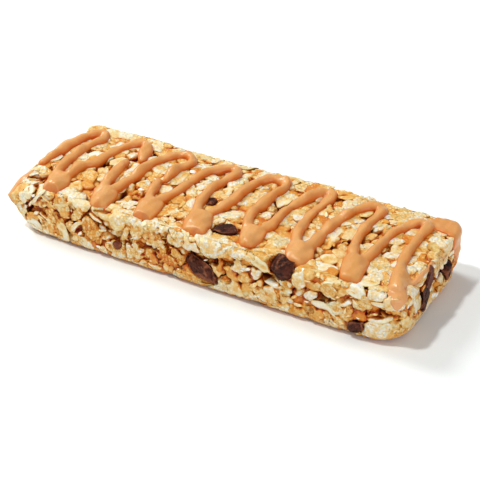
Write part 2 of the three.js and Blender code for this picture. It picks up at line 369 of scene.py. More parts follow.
def grain(rng, size, bubble, relief):
    """A puffed rice grain: a bent, blunt ellipsoid with a blistered skin."""
    ball, triangles = GRAIN_BALL
    p = np.sign(ball) * np.abs(ball) ** 0.9 * np.asarray(size) / 2
    p *= 1 + slow_bumps(rng, p, wave=size[0] * 0.5, amount=0.2)[:, None]
    p[:, 1] += rng.normal() * 0.15 * p[:, 0] ** 2 / size[0]
    p, _ = broken(rng, p, breaks=3, least=0.7, most=0.95)
    crest = bubbles(rng, p, bubble)
    p += ball * (relief * crest)[:, None]
    return p, triangles, crest


def crag(rng, size, bubble, relief):
    """A crisp torn open: a craggy lump with open cells."""
    ball, triangles = CRAG_BALL
    p = ball * np.asarray(size) / 2
    p *= 1 + slow_bumps(rng, p, wave=size[0] * 0.45, amount=0.3)[:, None]
    p, _ = broken(rng, p, breaks=7, least=0.5, most=0.9)
    crest = bubbles(rng, p, bubble, pits=0.35)
    p += ball * (relief * crest)[:, None]
    return p, triangles, crest


FLAKE_AROUND = 26
FLAKE_RINGS = np.array([0.0, 0.32, 0.58, 0.8, 0.94, 1.0])
CREASE_WIDE, CREASE_DEEP = 0.45, 0.3


def flake(rng, size, rag, curl):
    """A rolled flake: an oval, ragged, wavy plate with a crease along it. Its Z is the way it faces."""
    turn = np.arange(FLAKE_AROUND) * 2 * math.pi / FLAKE_AROUND
    edge = np.ones(FLAKE_AROUND)
    for k in range(2, 9):
        edge += rag * rng.normal() / k ** 0.5 * np.cos(k * turn + rng.uniform(0, 2 * math.pi)) * 0.5
    oval = np.stack([np.cos(turn) * size[0], np.sin(turn) * size[1]], 1)
    plan = np.concatenate([np.zeros((1, 2))] + [
        oval * ((1 + (edge - 1) * r ** 2) * r / 2)[:, None] for r in FLAKE_RINGS[1:]
    ])
    share = np.repeat(FLAKE_RINGS, [1] + [FLAKE_AROUND] * (len(FLAKE_RINGS) - 1))
    half = size[2] / 2 * np.sqrt(np.clip(1.02 - share ** 5, 0.06, 1))
    flat = np.concatenate([plan, np.zeros((len(plan), 1))], 1)
    bow = curl[0] * (plan[:, 0] / size[0] * 2) ** 2 + curl[1] * (plan[:, 1] / size[1] * 2) ** 2
    bow += slow_bumps(rng, flat, wave=4.2, amount=0.3)
    crease = -CREASE_DEEP * np.exp(-(plan[:, 1] / CREASE_WIDE) ** 2) * (1 - share ** 3)
    fine = slow_bumps(rng, flat, wave=1.7, amount=0.07)
    top = np.stack([*plan.T, bow + half + crease + fine], 1)
    bottom = np.stack([*plan.T, bow - half], 1)
    starts = [1 + i * FLAKE_AROUND for i in range(len(FLAKE_RINGS) - 1)]
    one_side = np.concatenate([fan(0, 1, FLAKE_AROUND)] + [
        strip(a, b, FLAKE_AROUND) for a, b in zip(starts, starts[1:])
    ])
    wall = strip(starts[-1], len(plan) + starts[-1], FLAKE_AROUND)
    triangles = np.concatenate([one_side, one_side[:, ::-1] + len(plan), wall])
    return np.concatenate([top, bottom]), triangles, np.tile(share ** 2, 2)


DROP_PROFILE = np.array([  # a chocolate drop's radius and height, of 1, from its base up to its tip
    [0.0, -0.36], [0.8, -0.37], [1.0, -0.27], [0.98, -0.06],
    [0.76, 0.2], [0.42, 0.42], [0.17, 0.58], [0.0, 0.64],
])
RIDGE_WIDE = 0.3  # the ridge where two flats meet is marked this wide, for scuffs with a painted highlight
DENT_DEEP = 0.16


def drop(rng, size, roundness):
    """A chocolate drop with its tip on +Z, knocked about: with flats, and ridges marked for scuffs with a
    painted highlight. Seen from its tip it is round at a roundness of 2 and a rhomb at 1."""
    ball, triangles = DROP_BALL
    steep = np.arccos(np.clip(ball[:, 2], -1, 1)) / math.pi
    run = np.concatenate([[0], np.cumsum(np.linalg.norm(np.diff(DROP_PROFILE, axis=0), axis=1))])
    along = (1 - steep) * run[-1]
    turn = np.arctan2(ball[:, 1], ball[:, 0])
    plan = (np.abs(np.cos(turn)) ** roundness + np.abs(np.sin(turn)) ** roundness) ** (-1 / roundness)
    radius = np.interp(along, run, DROP_PROFILE[:, 0]) * plan
    height = np.interp(along, run, DROP_PROFILE[:, 1])
    across = radius * np.stack([np.cos(turn) * size[0], np.sin(turn) * size[1]]) / 2
    p = np.stack([*across, height * size[2]], 1)
    p, faces = broken(rng, p, breaks=9, least=0.55, most=0.9)
    on_faces = sum(np.exp(-((limit - p @ way) / RIDGE_WIDE) ** 2) for way, limit in faces)
    ridge = np.clip(on_faces - 1, 0, 1)
    dents = slow_bumps(rng, p, wave=2.2, amount=0.5)
    p += ball * (DENT_DEEP * dents)[:, None]
    return p, triangles, np.maximum(ridge, np.clip(dents - 0.2, 0, 0.6))


# ---- where the pieces go
TRIES = 40  # random spots for each one that is wanted
IN_HOLLOW = 0.4  # a spot with this share of a hollow is left free


def random_spots(rng, count, weights):
    """Random points on the bar's skin, by the weights of its top, underside, front, back and two ends."""
    areas = np.array([HALF_LONG * HALF_WIDE] * 2 + [HALF_LONG * TOP / 2] * 2 + [HALF_WIDE * TOP / 2] * 2)
    share = areas * weights
    face = rng.choice(6, size=count, p=share / share.sum())
    u, v = rng.uniform(-1, 1, (2, count))
    p = np.stack([u * HALF_LONG, v * HALF_WIDE, TOP * (v + 1) / 2], 1)
    p[face == 0, 2] = TOP + back_rise(p[face == 0])
    p[face == 1, 2] = 0
    p[face == 2, 1] = -HALF_WIDE
    p[face == 3, 1] = HALF_WIDE
    for end, side in ((4, 1), (5, -1)):
        at = face == end
        p[at, 0] = side * HALF_LONG
        p[at, 1] = u[at] * HALF_WIDE
    distance, way = outline(p)
    p[:, :2] -= way * np.maximum(distance, 0)[:, None]
    p[:, 2] = np.minimum(p[:, 2], top_at(p))
    return p


def scattered(rng, taken, count, gap, weights, gap_to_taken):
    """Up to count spots on the skin, each at least gap from the others and gap_to_taken from those taken."""
    chosen = np.empty((0, 3))
    candidates = random_spots(rng, TRIES * count, weights)
    for p in candidates[hollow_share(candidates) < IN_HOLLOW]:
        if len(chosen) == count:
            break
        if len(chosen) and np.linalg.norm(chosen - p, axis=1).min() < gap:
            continue
        if len(taken) and np.linalg.norm(taken - p, axis=1).min() < gap_to_taken:
            continue
        chosen = np.vstack([chosen, p])
    return chosen


def sized(rng, size, spread):
    return np.asarray(size) * rng.uniform(1 - spread, 1 + spread, 3)


# How thickly pieces are strewn on the top, the underside, the front, the back, the right and the left end.
EVERYWHERE = (1, 0.8, 1, 1, 1, 1)
SIDES_MOSTLY = (0.25, 0.25, 1, 1, 1, 1)
CRUMBS_WHERE = (0.3, 0.3, 1.4, 1.4, 1.4, 1.4)

# What is strewn: how big, how many, how far apart and how far from what is there already.
FLAKE_SIZE = (6.4, 5.0)
CRAG_SIZE = (5.8, 4.4, 3.6)
GRAIN_SIZE = (4.0, 2.8, 2.4)
CRUMB_SIZE = (2.4, 1.6, 0.7)
FLAKES = dict(count=230, gap=4.7, weights=EVERYWHERE, gap_to_taken=3.0)
CRAGS = dict(count=110, gap=4.8, weights=SIDES_MOSTLY, gap_to_taken=2.8)
PALE_GRAINS = dict(count=420, gap=2.5, weights=EVERYWHERE, gap_to_taken=2.0)
GOLD_GRAINS = dict(count=380, gap=2.2, weights=EVERYWHERE, gap_to_taken=1.4)
CRUMBS = dict(count=1300, gap=1.0, weights=CRUMBS_WHERE, gap_to_taken=0)
# A flake's thickness, how ragged its edge is, how curled it is, and its tone.
GOLDEN_FLAKE = dict(thick=(0.45, 0.7), rag=0.16, curl=0.45, tone=(0.5, 1))
PALE_FLAKE = dict(thick=(0.65, 1.0), rag=0.1, curl=0.2, tone=(0, 0.5))
GOLDEN_SHARE = 0.5
FLAKE_DROOP = 0.35  # how much flakes at the sides lean outwards
ALONG_SHARE, ALONG_DEPTH = 0.3, 0.4  # a share of them lie along the side instead, and less deep
# How deep their middles lie below the bar's skin, from and to.
FLAKE_DEPTH, LEVEL_FLAKE_DEPTH = (0.8, 2.2), (0.2, 1.0)
PALE_DEPTH, GOLD_DEPTH, CRAG_DEPTH, CRUMB_DEPTH = (0.8, 1.6), (1.1, 2.1), (0.9, 1.8), (0.0, 1.4)
# How softly pieces are pressed into the bar.
DROP_GIVE, FLAKE_GIVE, NAMED_GRAIN_GIVE, GRAIN_GIVE, CRAG_GIVE, CRUMB_GIVE = 0.25, 0.45, 0.5, 0.4, 0.4, 0.3
LEVEL_GROWTH = 1.35  # how much larger the grains of the top and the underside are

# The chocolate drops: middle, way of the tip, the way that the first size runs, sizes, roundness and how
# brown. The last six are on the sides that the photo doesn't show.
DROPS = [
    ((4.7, -10.3, 11.4), (0.1, -0.3, -1), (1, 0, 0), (6.4, 5.0, 3.2), 1.9, 0.3),
    ((-3.5, -2.2, 11.3), (0.3, 0.2, 1), (0, 1, 0), (5.2, 3.0, 3.0), 2.0, 0.3),
    ((21.2, -15.0, 10.8), (-0.3, -1, 0.6), (1, 0, 0.2), (8.8, 7.0, 4.4), 1.2, 0.25),
    ((2.8, -15.8, 4.9), (0.2, 1, -0.2), (1, 0, -0.42), (11.5, 4.6, 3.8), 1.15, 0.3),
    ((46.9, -2.5, 9.2), (-1, 0.1, 0.1), (0, 0.3, 1), (6.6, 4.4, 3.2), 1.5, 0.7),
    ((47.0, -4.0, 5.4), (-1, 0.1, 0.1), (0, 0.2, 1), (8.2, 6.2, 3.4), 1.4, 0.05),
    ((47.0, 8.6, 4.7), (0.9, 0.3, -0.2), (0, 0.4, 1), (5.2, 3.4, 3.8), 1.6, 0.1),
    ((38.4, -16.3, 3.2), (0.2, 1, 0.3), (1, 0, 0.7), (6.4, 2.8, 3.0), 1.3, 0.3),
    ((-18.6, -16.1, 4.3), (0.4, 1, 0.3), (1, 0, 0.3), (3.0, 1.9, 2.2), 1.4, 1),
    ((-19.6, 15.4, 5.2), (0.3, 1, 0.3), (1, 0, 0), (5.8, 4.8, 3.6), 2.0, 0.3),
    ((13.5, 15.6, 7.0), (-0.5, -1, 0.2), (1, 0, 0.5), (6.0, 5.2, 3.8), 1.5, 0.3),
    ((33.0, 15.4, 4.4), (0.6, 1, -0.3), (1, 0, -0.4), (6.4, 4.8, 3.6), 1.3, 0.3),
    ((-46.2, 4.6, 6.2), (1, -0.3, 0.3), (0, 1, 0.3), (5.8, 5.0, 3.6), 1.8, 0.3),
    ((-20.0, 4.0, 0.4), (0.2, 0.3, 1), (1, 0, 0), (5.6, 5.0, 3.4), 2.0, 0.3),
    ((24.0, -5.0, 0.4), (0.5, -0.3, -1), (1, 1, 0), (5.8, 5.0, 3.4), 1.5, 0.3),
]

FRONT_SHOULDER = 9.5  # above this height the front's pieces face upwards a little

# Pieces that stand out, by kind: flakes that show their face, flakes that lie level and show their edge,
# pale and golden grains, and crags. Those of the front: x, z, how deep, size, lean in degrees, tone.
FRONT = {
    "face": [
        (15.6, 12.0, 1.2, (6.4, 4.4, 0.6), 10, 1.0), (20.0, 12.2, 3.4, (5.0, 4.2, 0.8), 30, 0.1),
        (16.6, 10.6, 0.3, (5.2, 2.4, 0.7), -20, 0.5), (28.4, 12.1, 1.6, (5.4, 3.8, 0.6), 14, 0.8),
        (32.4, 11.9, 1.4, (4.6, 3.4, 0.6), -12, 0.6), (37.8, 11.0, 0.8, (4.4, 3.0, 0.7), -8, 0.3),
        (-42.4, 10.4, 0.8, (3.6, 2.8, 0.8), 70, 0.1), (-38.2, 8.9, 1.0, (3.0, 2.0, 0.7), 20, 0.0),
        (-26.0, 3.6, 0.9, (4.8, 3.0, 0.9), 84, 0.5), (-23.6, 4.2, 1.0, (4.0, 1.8, 0.8), 88, 0.8),
        (-20.4, 3.2, 0.5, (3.2, 2.4, 0.8), 10, 0.0), (-28.0, 11.9, 1.2, (5.0, 4.2, 0.7), 0, 0.5),
        (-18.2, 10.4, 0.9, (5.4, 4.4, 0.8), 70, 0.6),
    ],
    "edge": [
        (44.0, 9.2, 1.8, (7.0, 4.4, 1.1), 4, 0.0), (-39.8, 9.7, 1.0, (7.0, 4.0, 0.7), 52, 0.3),
        (-36.6, 9.8, 0.8, (4.4, 4.0, 0.6), -40, 0.7), (-32.6, 10.0, 0.8, (5.6, 4.4, 0.7), 24, 0.6),
        (-28.8, 5.9, 0.7, (5.4, 4.0, 0.9), 26, 0.0), (-24.0, 9.2, 0.8, (3.4, 3.0, 0.6), -34, 0.0),
    ],
    "pale": [
        (25.5, 9.8, 1.0, (5.8, 3.2, 2.8), 76, 0.2), (42.4, 11.4, 1.0, (3.8, 3.0, 2.6), 10, 0.1),
        (11.6, 8.3, 1.0, (3.4, 2.8, 2.6), 20, 0.1), (15.7, 7.9, 1.2, (3.0, 2.4, 2.4), 70, 0.2),
        (10.2, 2.8, 1.0, (4.6, 3.2, 2.8), 50, 0.3), (28.2, 6.8, 0.8, (3.2, 2.0, 1.8), 30, 0.3),
        (43.2, 3.4, 1.2, (6.4, 4.6, 3.4), 10, 0.5), (-43.6, 9.2, 1.0, (3.4, 2.4, 2.2), 60, 0.0),
    ],
    "gold": [
        (6.9, 6.8, 1.4, (4.0, 1.5, 1.4), 80, 0.9), (10.0, 5.7, 1.2, (4.0, 2.2, 2.0), -10, 0.8),
        (13.6, 3.2, 1.0, (4.4, 3.2, 2.6), 70, 0.5), (-0.4, 3.0, 1.0, (4.4, 3.0, 2.6), 80, 0.7),
        (28.2, 9.0, 1.8, (4.2, 2.8, 2.4), 0, 0.6), (38.6, 5.0, 1.3, (4.0, 2.8, 2.4), 60, 1.0),
        (-33.0, 8.6, 1.0, (3.6, 3.2, 2.8), 0, 0.8), (-41.4, 4.2, 1.2, (4.2, 3.0, 2.6), 0, 0.8),
        (-45.4, 10.4, 1.4, (4.6, 2.6, 2.4), 40, 0.6),
    ],
    "crag": [
        (6.4, 11.2, 1.2, (9.0, 4.4, 3.8), 6, 0.05), (12.0, 11.4, 1.2, (6.0, 4.0, 3.4), -10, 0.4),
        (17.8, 3.2, 1.0, (6.4, 4.2, 3.4), 0, 0.3), (22.9, 7.4, 1.4, (3.6, 3.0, 2.8), 40, 0.2),
        (34.0, 5.4, 1.3, (4.6, 3.6, 3.0), 0, 0.4), (32.6, 9.0, 1.2, (4.6, 3.2, 3.0), 0, 0.5),
        (-13.4, 10.0, 1.2, (5.6, 4.6, 3.8), 0, 0.3), (-8.2, 8.2, 1.0, (4.4, 3.8, 3.4), 0, 0.0),
        (-7.6, 11.4, 1.6, (6.0, 3.4, 3.2), 0, 0.3), (-2.8, 10.8, 1.2, (5.6, 4.2, 3.6), 0, 0.3),
        (-6.6, 4.2, 1.2, (7.4, 3.6, 3.2), 0, 1.0), (-15.0, 4.0, 1.0, (5.2, 4.6, 3.6), 0, 0.2),
        (-46.0, 8.4, 1.4, (4.6, 3.2, 3.2), 0, 0.7), (-44.6, 5.6, 1.4, (4.0, 3.4, 3.0), 70, 0.4),
    ],
}
# Those of the top: x, y, size, lean, tone.
ON_TOP = {
    "face": [
        (-37.8, 3.0, (6.4, 4.0, 1.0), 80, 0.3), (-31.4, 3.6, (5.0, 3.0, 0.9), 80, 0.6),
        (-24.6, 13.6, (6.6, 4.6, 1.0), 10, 0.8), (-15.0, 4.0, (7.6, 3.2, 0.9), 88, 0.5),
        (-3.0, 3.0, (5.6, 3.6, 0.9), 88, 0.5), (10.2, 7.2, (7.0, 3.4, 1.0), 85, 0.4),
        (21.0, 5.4, (7.4, 3.8, 1.1), 85, 0.5), (21.6, 14.0, (5.2, 3.2, 0.9), 10, 0.9),
        (28.9, -9.2, (4.6, 4.0, 1.0), 30, 0.4), (29.6, -13.0, (5.4, 3.8, 1.0), 10, 0.2),
        (39.2, 0.9, (8.0, 2.4, 0.9), 88, 0.5),
    ],
    "pale": [
        (-44.7, 12.2, (3.6, 3.0, 2.6), 60, 0.3), (-38.0, -1.4, (3.6, 2.6, 2.4), 70, 0.2),
        (-30.0, 7.9, (3.2, 2.0, 2.0), 70, 0.0), (-33.4, -9.6, (6.2, 3.2, 2.8), 65, 0.5),
        (-26.6, 0.2, (7.6, 2.2, 2.4), 88, 0.1), (-25.7, 8.4, (4.0, 2.4, 2.4), 80, 0.2),
        (-20.7, 7.5, (3.2, 2.6, 2.4), 60, 0.0), (-20.6, -2.4, (3.8, 3.0, 2.6), 60, 0.0),
        (-8.5, 2.4, (4.0, 2.8, 2.6), 70, 0.0), (-2.9, 7.8, (4.6, 3.4, 2.8), 80, 0.1),
        (3.6, 2.8, (5.6, 3.6, 2.8), 85, 0.3), (9.5, -0.8, (4.2, 3.0, 2.6), 80, 0.2),
        (1.6, -7.6, (3.2, 2.4, 2.2), 60, 0.2), (15.4, -1.2, (3.4, 3.0, 2.6), 0, 0.2),
        (16.6, -8.8, (6.6, 4.8, 3.2), 75, 0.1), (21.4, -3.0, (5.8, 2.8, 2.6), 80, 0.2),
        (23.2, 10.6, (5.4, 4.0, 3.0), 70, 0.1), (33.1, 7.0, (4.0, 2.4, 2.4), 70, 0.1),
        (33.2, -1.8, (4.4, 2.4, 2.2), 70, 0.2), (39.0, 6.4, (4.0, 2.6, 2.4), 80, 0.1),
        (44.3, 8.6, (5.0, 3.4, 3.0), 80, 0.2),
    ],
    "gold": [
        (-37.6, 8.2, (3.8, 2.6, 2.4), 80, 0.8), (-43.4, -8.6, (4.4, 3.2, 2.6), 0, 0.4),
        (-20.2, 1.5, (5.0, 3.2, 2.6), 80, 0.5), (-8.4, -2.8, (4.0, 3.0, 2.6), 30, 0.9),
        (3.7, 7.2, (3.6, 3.0, 2.4), 80, 0.6), (15.7, 4.4, (6.0, 2.2, 2.2), 80, 0.5),
        (32.6, 2.4, (2.8, 2.2, 2.0), 60, 0.7), (44.4, -3.4, (3.6, 2.4, 2.4), 70, 0.9),
    ],
    "crag": [
        (-36.2, 13.6, (7.4, 4.4, 3.4), 0, 0.3), (-30.8, -3.4, (7.4, 3.4, 3.0), 75, 0.9),
        (-19.9, -6.6, (4.4, 3.8, 3.0), 0, 1.0), (-19.0, -11.6, (6.2, 5.0, 3.6), 70, 0.0),
        (-12.6, 12.0, (5.6, 4.6, 3.4), 0, 0.0), (-8.6, -8.0, (7.8, 4.4, 3.4), 75, 0.2),
        (-7.4, -13.2, (5.2, 4.6, 3.4), 0, 0.3), (-2.0, 12.6, (5.2, 4.0, 3.2), 80, 0.8),
        (10.6, 13.2, (7.0, 4.6, 3.6), 0, 0.0), (4.4, -5.6, (5.4, 4.6, 3.2), 90, 0.9),
        (25.6, 14.0, (5.0, 4.4, 3.4), 60, 0.1), (27.2, 3.4, (5.8, 3.6, 3.2), 85, 0.1),
        (27.4, -1.6, (4.4, 3.8, 3.0), 20, 1.0), (34.4, 12.4, (5.6, 4.4, 3.0), 0, 1.0),
        (39.6, -8.8, (8.0, 4.6, 3.4), 80, 0.1), (44.6, 1.4, (6.4, 3.0, 2.8), 85, 1.0),
    ],
}
# And those of the right end: y, z, size, lean, tone.
RIGHT_END = {
    "face": [
        (-12.6, 4.6, (5.0, 3.0, 0.9), -30, 0.6),
    ],
    "pale": [
        (-10.5, 10.6, (5.0, 2.6, 2.4), -35, 0.0), (-8.8, 6.6, (5.0, 2.6, 2.4), -60, 0.0),
        (6.4, 9.4, (5.0, 2.2, 2.4), -60, 0.0),
    ],
    "gold": [
        (13.4, 6.2, (3.6, 3.2, 2.8), 30, 1.0),
    ],
    "crag": [
        (2.4, 9.4, (6.4, 3.6, 3.2), -70, 0.1),
    ],
}


def stick(pile, shape, rotation, at, give, tone):
    """One piece, turned, put in place, pressed and kept out of the hollows, joins its pile."""
    points, triangles, crest = shape
    pile.add(beneath_drops(carve(press(points @ rotation.T + at, give))), triangles, tone, crest)


DROP_PROUD = 0.3  # how far a drop stands out of the pressed skin
DROP_BED = 0.6  # how far below a drop's middle the pieces under it end
DROP_END = 0.28  # how far from its middle its ends are taken to lie, as a share of its first size


def chocolate():
    """The drops, pressed in like the rest but a little proud of it, and what each of them lies over."""
    rng = np.random.default_rng([SEED, 1])
    pile, covers = Pile(), []
    for at, tip, along, size, roundness, brown in DROPS:
        points, triangles, crest = drop(rng, size, roundness)
        out = way_out(np.array([at]))[0]
        points = press(points @ turned(rng, tip, tilt=0, x_way=along).T + at, DROP_GIVE) + out * DROP_PROUD
        points[:, 2] = np.maximum(points[:, 2], 0)
        pile.add(points, triangles, brown, crest)
        one = unit(np.array(along) - out * (out @ along))
        other = np.cross(out, one)
        reach = [np.ptp(points @ way) / 2 for way in (one, other)]
        covers.append(((points.max(0) + points.min(0)) / 2, out, one / reach[0], other / reach[1]))
    return pile, covers


def beneath_drops(p):
    """Points pushed in where a drop lies over them."""
    for middle, out, one, other in COVERS:
        off = p - middle
        ring = np.hypot(off @ one, off @ other)
        rise = np.maximum(off @ out + DROP_BED, 0)
        p = p - np.outer(rise * ramp(ring, 1.0, 0.75), out)
    return p


CHOCOLATE, COVERS = chocolate()


def drop_spots():
    """Where the drops are, so that pieces keep clear of them: each one's middle and both its ends."""
    return np.array([
        np.array(at) + step * size[0] * unit(np.array(along, float))
        for at, _, along, size, _, _ in DROPS for step in (-DROP_END, 0, DROP_END)
    ])


# How much of a named piece's height lies below the top, more for a darker one, and inside the right end.
TOP_SUNK, TOP_SUNK_BY_TONE, END_SUNK = 0.44, 0.16, 0.42


def named_pieces(kind):
    """The named pieces of one kind: where, how they're turned, size and tone."""
    found = []
    for x, z, deep, size, lean, tone in FRONT.get(kind, ()):
        across, up = leaning(lean)
        along = np.array([across, 0, up])
        facing = np.array([0, -1.0, 0.5 if z > FRONT_SHOULDER else 0.1])
        if kind == "edge":
            facing = np.cross(along, (0, 1, 0)) * (1 if across < 0 else -1) + (0, -0.2, 0)
        found.append((np.array([x, deep - HALF_WIDE, z]), facing, along, size, tone))
    for x, y, size, lean, tone in ON_TOP.get(kind, ()):
        at = np.array([x, y, TOP - (TOP_SUNK + TOP_SUNK_BY_TONE * tone) * size[2]])
        at[2] += back_rise(at[None])[0]
        found.append((at, (0, 0, 1), (*leaning(lean), 0), size, tone))
    for y, z, size, lean, tone in RIGHT_END.get(kind, ()):
        at = np.array([HALF_LONG - END_SUNK * size[2], y, z])
        found.append((at, (1, 0, 0.1), (0, *leaning(lean)), size, tone))
    return found


def leaning(degrees):
    return math.cos(math.radians(degrees)), math.sin(math.radians(degrees))


NAMED_SPOTS = np.array([
    at for kind in ("face", "edge", "pale", "gold", "crag") for at, _, _, _, _ in named_pieces(kind)
])


def strewn(rng, taken, rule):
    """Spots scattered by a rule, and each with the way out there and how deep its piece is recessed."""
    spots = scattered(rng, taken, **rule)
    outs = way_out(spots)
    return spots, zip(spots, outs, recess(spots, outs))


def flakes(taken):
    """Flakes lie level as the roller left them, so that the sides show their edges."""
    rng = np.random.default_rng([SEED, 2])
    pile = Pile()
    for at, facing, along, size, tone in named_pieces("face") + named_pieces("edge"):
        shape = flake(rng, size, rag=0.1 + 0.08 * tone, curl=rng.normal(size=2) * 0.25)
        stick(pile, shape, turned(rng, facing, tilt=0.1, x_way=along), at, FLAKE_GIVE, tone)
    spots, places = strewn(rng, taken, FLAKES)
    for at, out, sunk in places:
        level = abs(out[2]) > LEVEL
        along = rng.random() < ALONG_SHARE
        facing = out if level or along else np.array([0, 0, 1.0]) + FLAKE_DROOP * out
        deep = rng.uniform(*(LEVEL_FLAKE_DEPTH if level else FLAKE_DEPTH))
        if along and not level:
            deep *= ALONG_DEPTH
        look = GOLDEN_FLAKE if rng.random() < GOLDEN_SHARE else PALE_FLAKE
        thick = rng.uniform(*look["thick"])
        size = (*(np.array(FLAKE_SIZE) * rng.uniform(0.6, 1.05)), thick)
        shape = flake(rng, size, look["rag"], rng.normal(size=2) * look["curl"])
        tone = rng.uniform(*look["tone"])
        stick(pile, shape, turned(rng, facing, tilt=0.25), at - out * (sunk + deep), FLAKE_GIVE, tone)
    return pile, spots


def grains(taken, kind, salt, rule, depth):
    """Puffed rice grains of one kind, pale or golden."""
    rng = np.random.default_rng([SEED, salt])
    pile = Pile()
    for at, facing, along, size, tone in named_pieces(kind):
        shape = grain(rng, size, bubble=1.0, relief=0.2)
        stick(pile, shape, turned(rng, facing, tilt=0.1, x_way=along), at, NAMED_GRAIN_GIVE, tone)
    spots, places = strewn(rng, taken, rule)
    for at, out, sunk in places:
        size = sized(rng, GRAIN_SIZE, 0.3) * (LEVEL_GROWTH if abs(out[2]) > LEVEL else 1)
        shape = grain(rng, size, bubble=rng.uniform(0.9, 1.4), relief=rng.uniform(0.12, 0.32))
        deep = sunk + rng.uniform(*depth)
        stick(pile, shape, turned(rng, out, tilt=0.4), at - out * deep, GRAIN_GIVE, rng.random())
    return pile, spots


def crags(taken):
    rng = np.random.default_rng([SEED, 5])
    pile = Pile()
    for at, facing, along, size, tone in named_pieces("crag"):
        shape = crag(rng, size, bubble=1.3, relief=0.42)
        stick(pile, shape, turned(rng, facing, tilt=0.1, x_way=along), at, CRAG_GIVE, tone)
    spots, places = strewn(rng, taken, CRAGS)
    for at, out, sunk in places:
        size = sized(rng, CRAG_SIZE, 0.25)
        shape = crag(rng, size, bubble=rng.uniform(1.0, 1.6), relief=rng.uniform(0.3, 0.5))
        deep = sunk + rng.uniform(*CRAG_DEPTH)
        stick(pile, shape, turned(rng, out, tilt=0.4), at - out * deep, CRAG_GIVE, rng.random())
    return pile, spots


def crumbs():
    rng = np.random.default_rng([SEED, 6])
    pile = Pile()
    ball, triangles = CRUMB_BALL
    _, places = strewn(rng, np.empty((0, 3)), CRUMBS)
    for at, out, sunk in places:
        size = sized(rng, CRUMB_SIZE, 0.35) * rng.uniform(0.5, 1.2)
        p = ball * size / 2
        p *= 1 + slow_bumps(rng, p, wave=1.4, amount=0.35)[:, None]
        p, _ = broken(rng, p, breaks=2, least=0.5, most=0.9)
        shape = (p, triangles, np.full(len(p), rng.random()))
        deep = sunk + rng.uniform(*CRUMB_DEPTH)
        stick(pile, shape, turned(rng, (0, 0, 1), tilt=0.5), at - out * deep, CRUMB_GIVE, rng.random())
    return pile


CORE_INSET = 0.5
CORE_GIVE = 0.6
CORE_DEPTH = 0.9
CORE_RECESS = 1.2  # how much of the pieces' recess it takes part in
CORE_STEP = 0.72
CORE_LOW = 0.12  # how far above the table it stays
CORE_LUMPS = ((3.4, 0.3), (1.6, 0.22))  # their wave and amount
# It comes up to the surface low down, and along the back's upper edge: from and to, and by what share.
LOW_Z, BACK_Y, BACK_Z = (4.5, 1.5), (13.5, 15), (9, 10.5)
SHALLOWER = 0.85


def cube_grid(counts):
    """Points of a cube's skin, -1 to 1, in so many steps along each axis, and its triangles."""
    points, triangles, base = [], [], 0
    for axis in range(3):
        others = [a for a in range(3) if a != axis]
        grid = np.meshgrid(*(np.linspace(-1, 1, counts[a] + 1) for a in others), indexing="ij")
        index = np.arange(grid[0].size).reshape(grid[0].shape)
        corners = index[:-1, :-1], index[1:, :-1], index[1:, 1:], index[:-1, 1:]
        a, b, c, d = (corner.ravel() for corner in corners)
        quads = np.concatenate([np.stack([a, b, c], 1), np.stack([a, c, d], 1)])
        for side in (-1, 1):
            p = np.full((index.size, 3), float(side))
            p[:, others] = np.stack([values.ravel() for values in grid], 1)
            outward = (side > 0) == (axis != 1)
            triangles.append((quads if outward else quads[:, ::-1]) + base)
            points.append(p)
            base += len(p)
    points = np.concatenate(points)
    _, first, welded = np.unique(np.round(points, 6), axis=0, return_index=True, return_inverse=True)
    return points[first], welded.ravel()[np.concatenate(triangles)]


def core():
    """The syrup and fine stuff inside, which shows in the gaps between the pieces."""
    rng = np.random.default_rng([SEED, 7])
    p, triangles = cube_grid([int(size / CORE_STEP) for size in (2 * HALF_LONG, 2 * HALF_WIDE, TOP)])
    p = (p + (0, 0, 1)) * (HALF_LONG, HALF_WIDE, TOP / 2)
    p = press(p - way_out(p) * CORE_INSET, CORE_GIVE)
    out = way_out(p)
    lumps = sum(slow_bumps(rng, p, *lump) for lump in CORE_LUMPS)
    sunk = CORE_DEPTH * np.clip(1 - out[:, 2], 0.6, 1) + lumps + CORE_RECESS * recess(p, out)
    shallow = np.maximum(ramp(p[:, 2], *LOW_Z), ramp(p[:, 1], *BACK_Y) * ramp(p[:, 2], *BACK_Z))
    sunk *= 1 - SHALLOWER * shallow
    p -= out * (sunk + (HOLLOW_DEPTH - CORE_DEPTH) * hollow_share(p))[:, None]
    p = beneath_drops(p)
    p[:, 2] = np.maximum(p[:, 2], CORE_LOW)
    pile = Pile()
    pile.add(p, triangles, 0.5, np.clip(0.5 - lumps, 0, 1))
    return pile


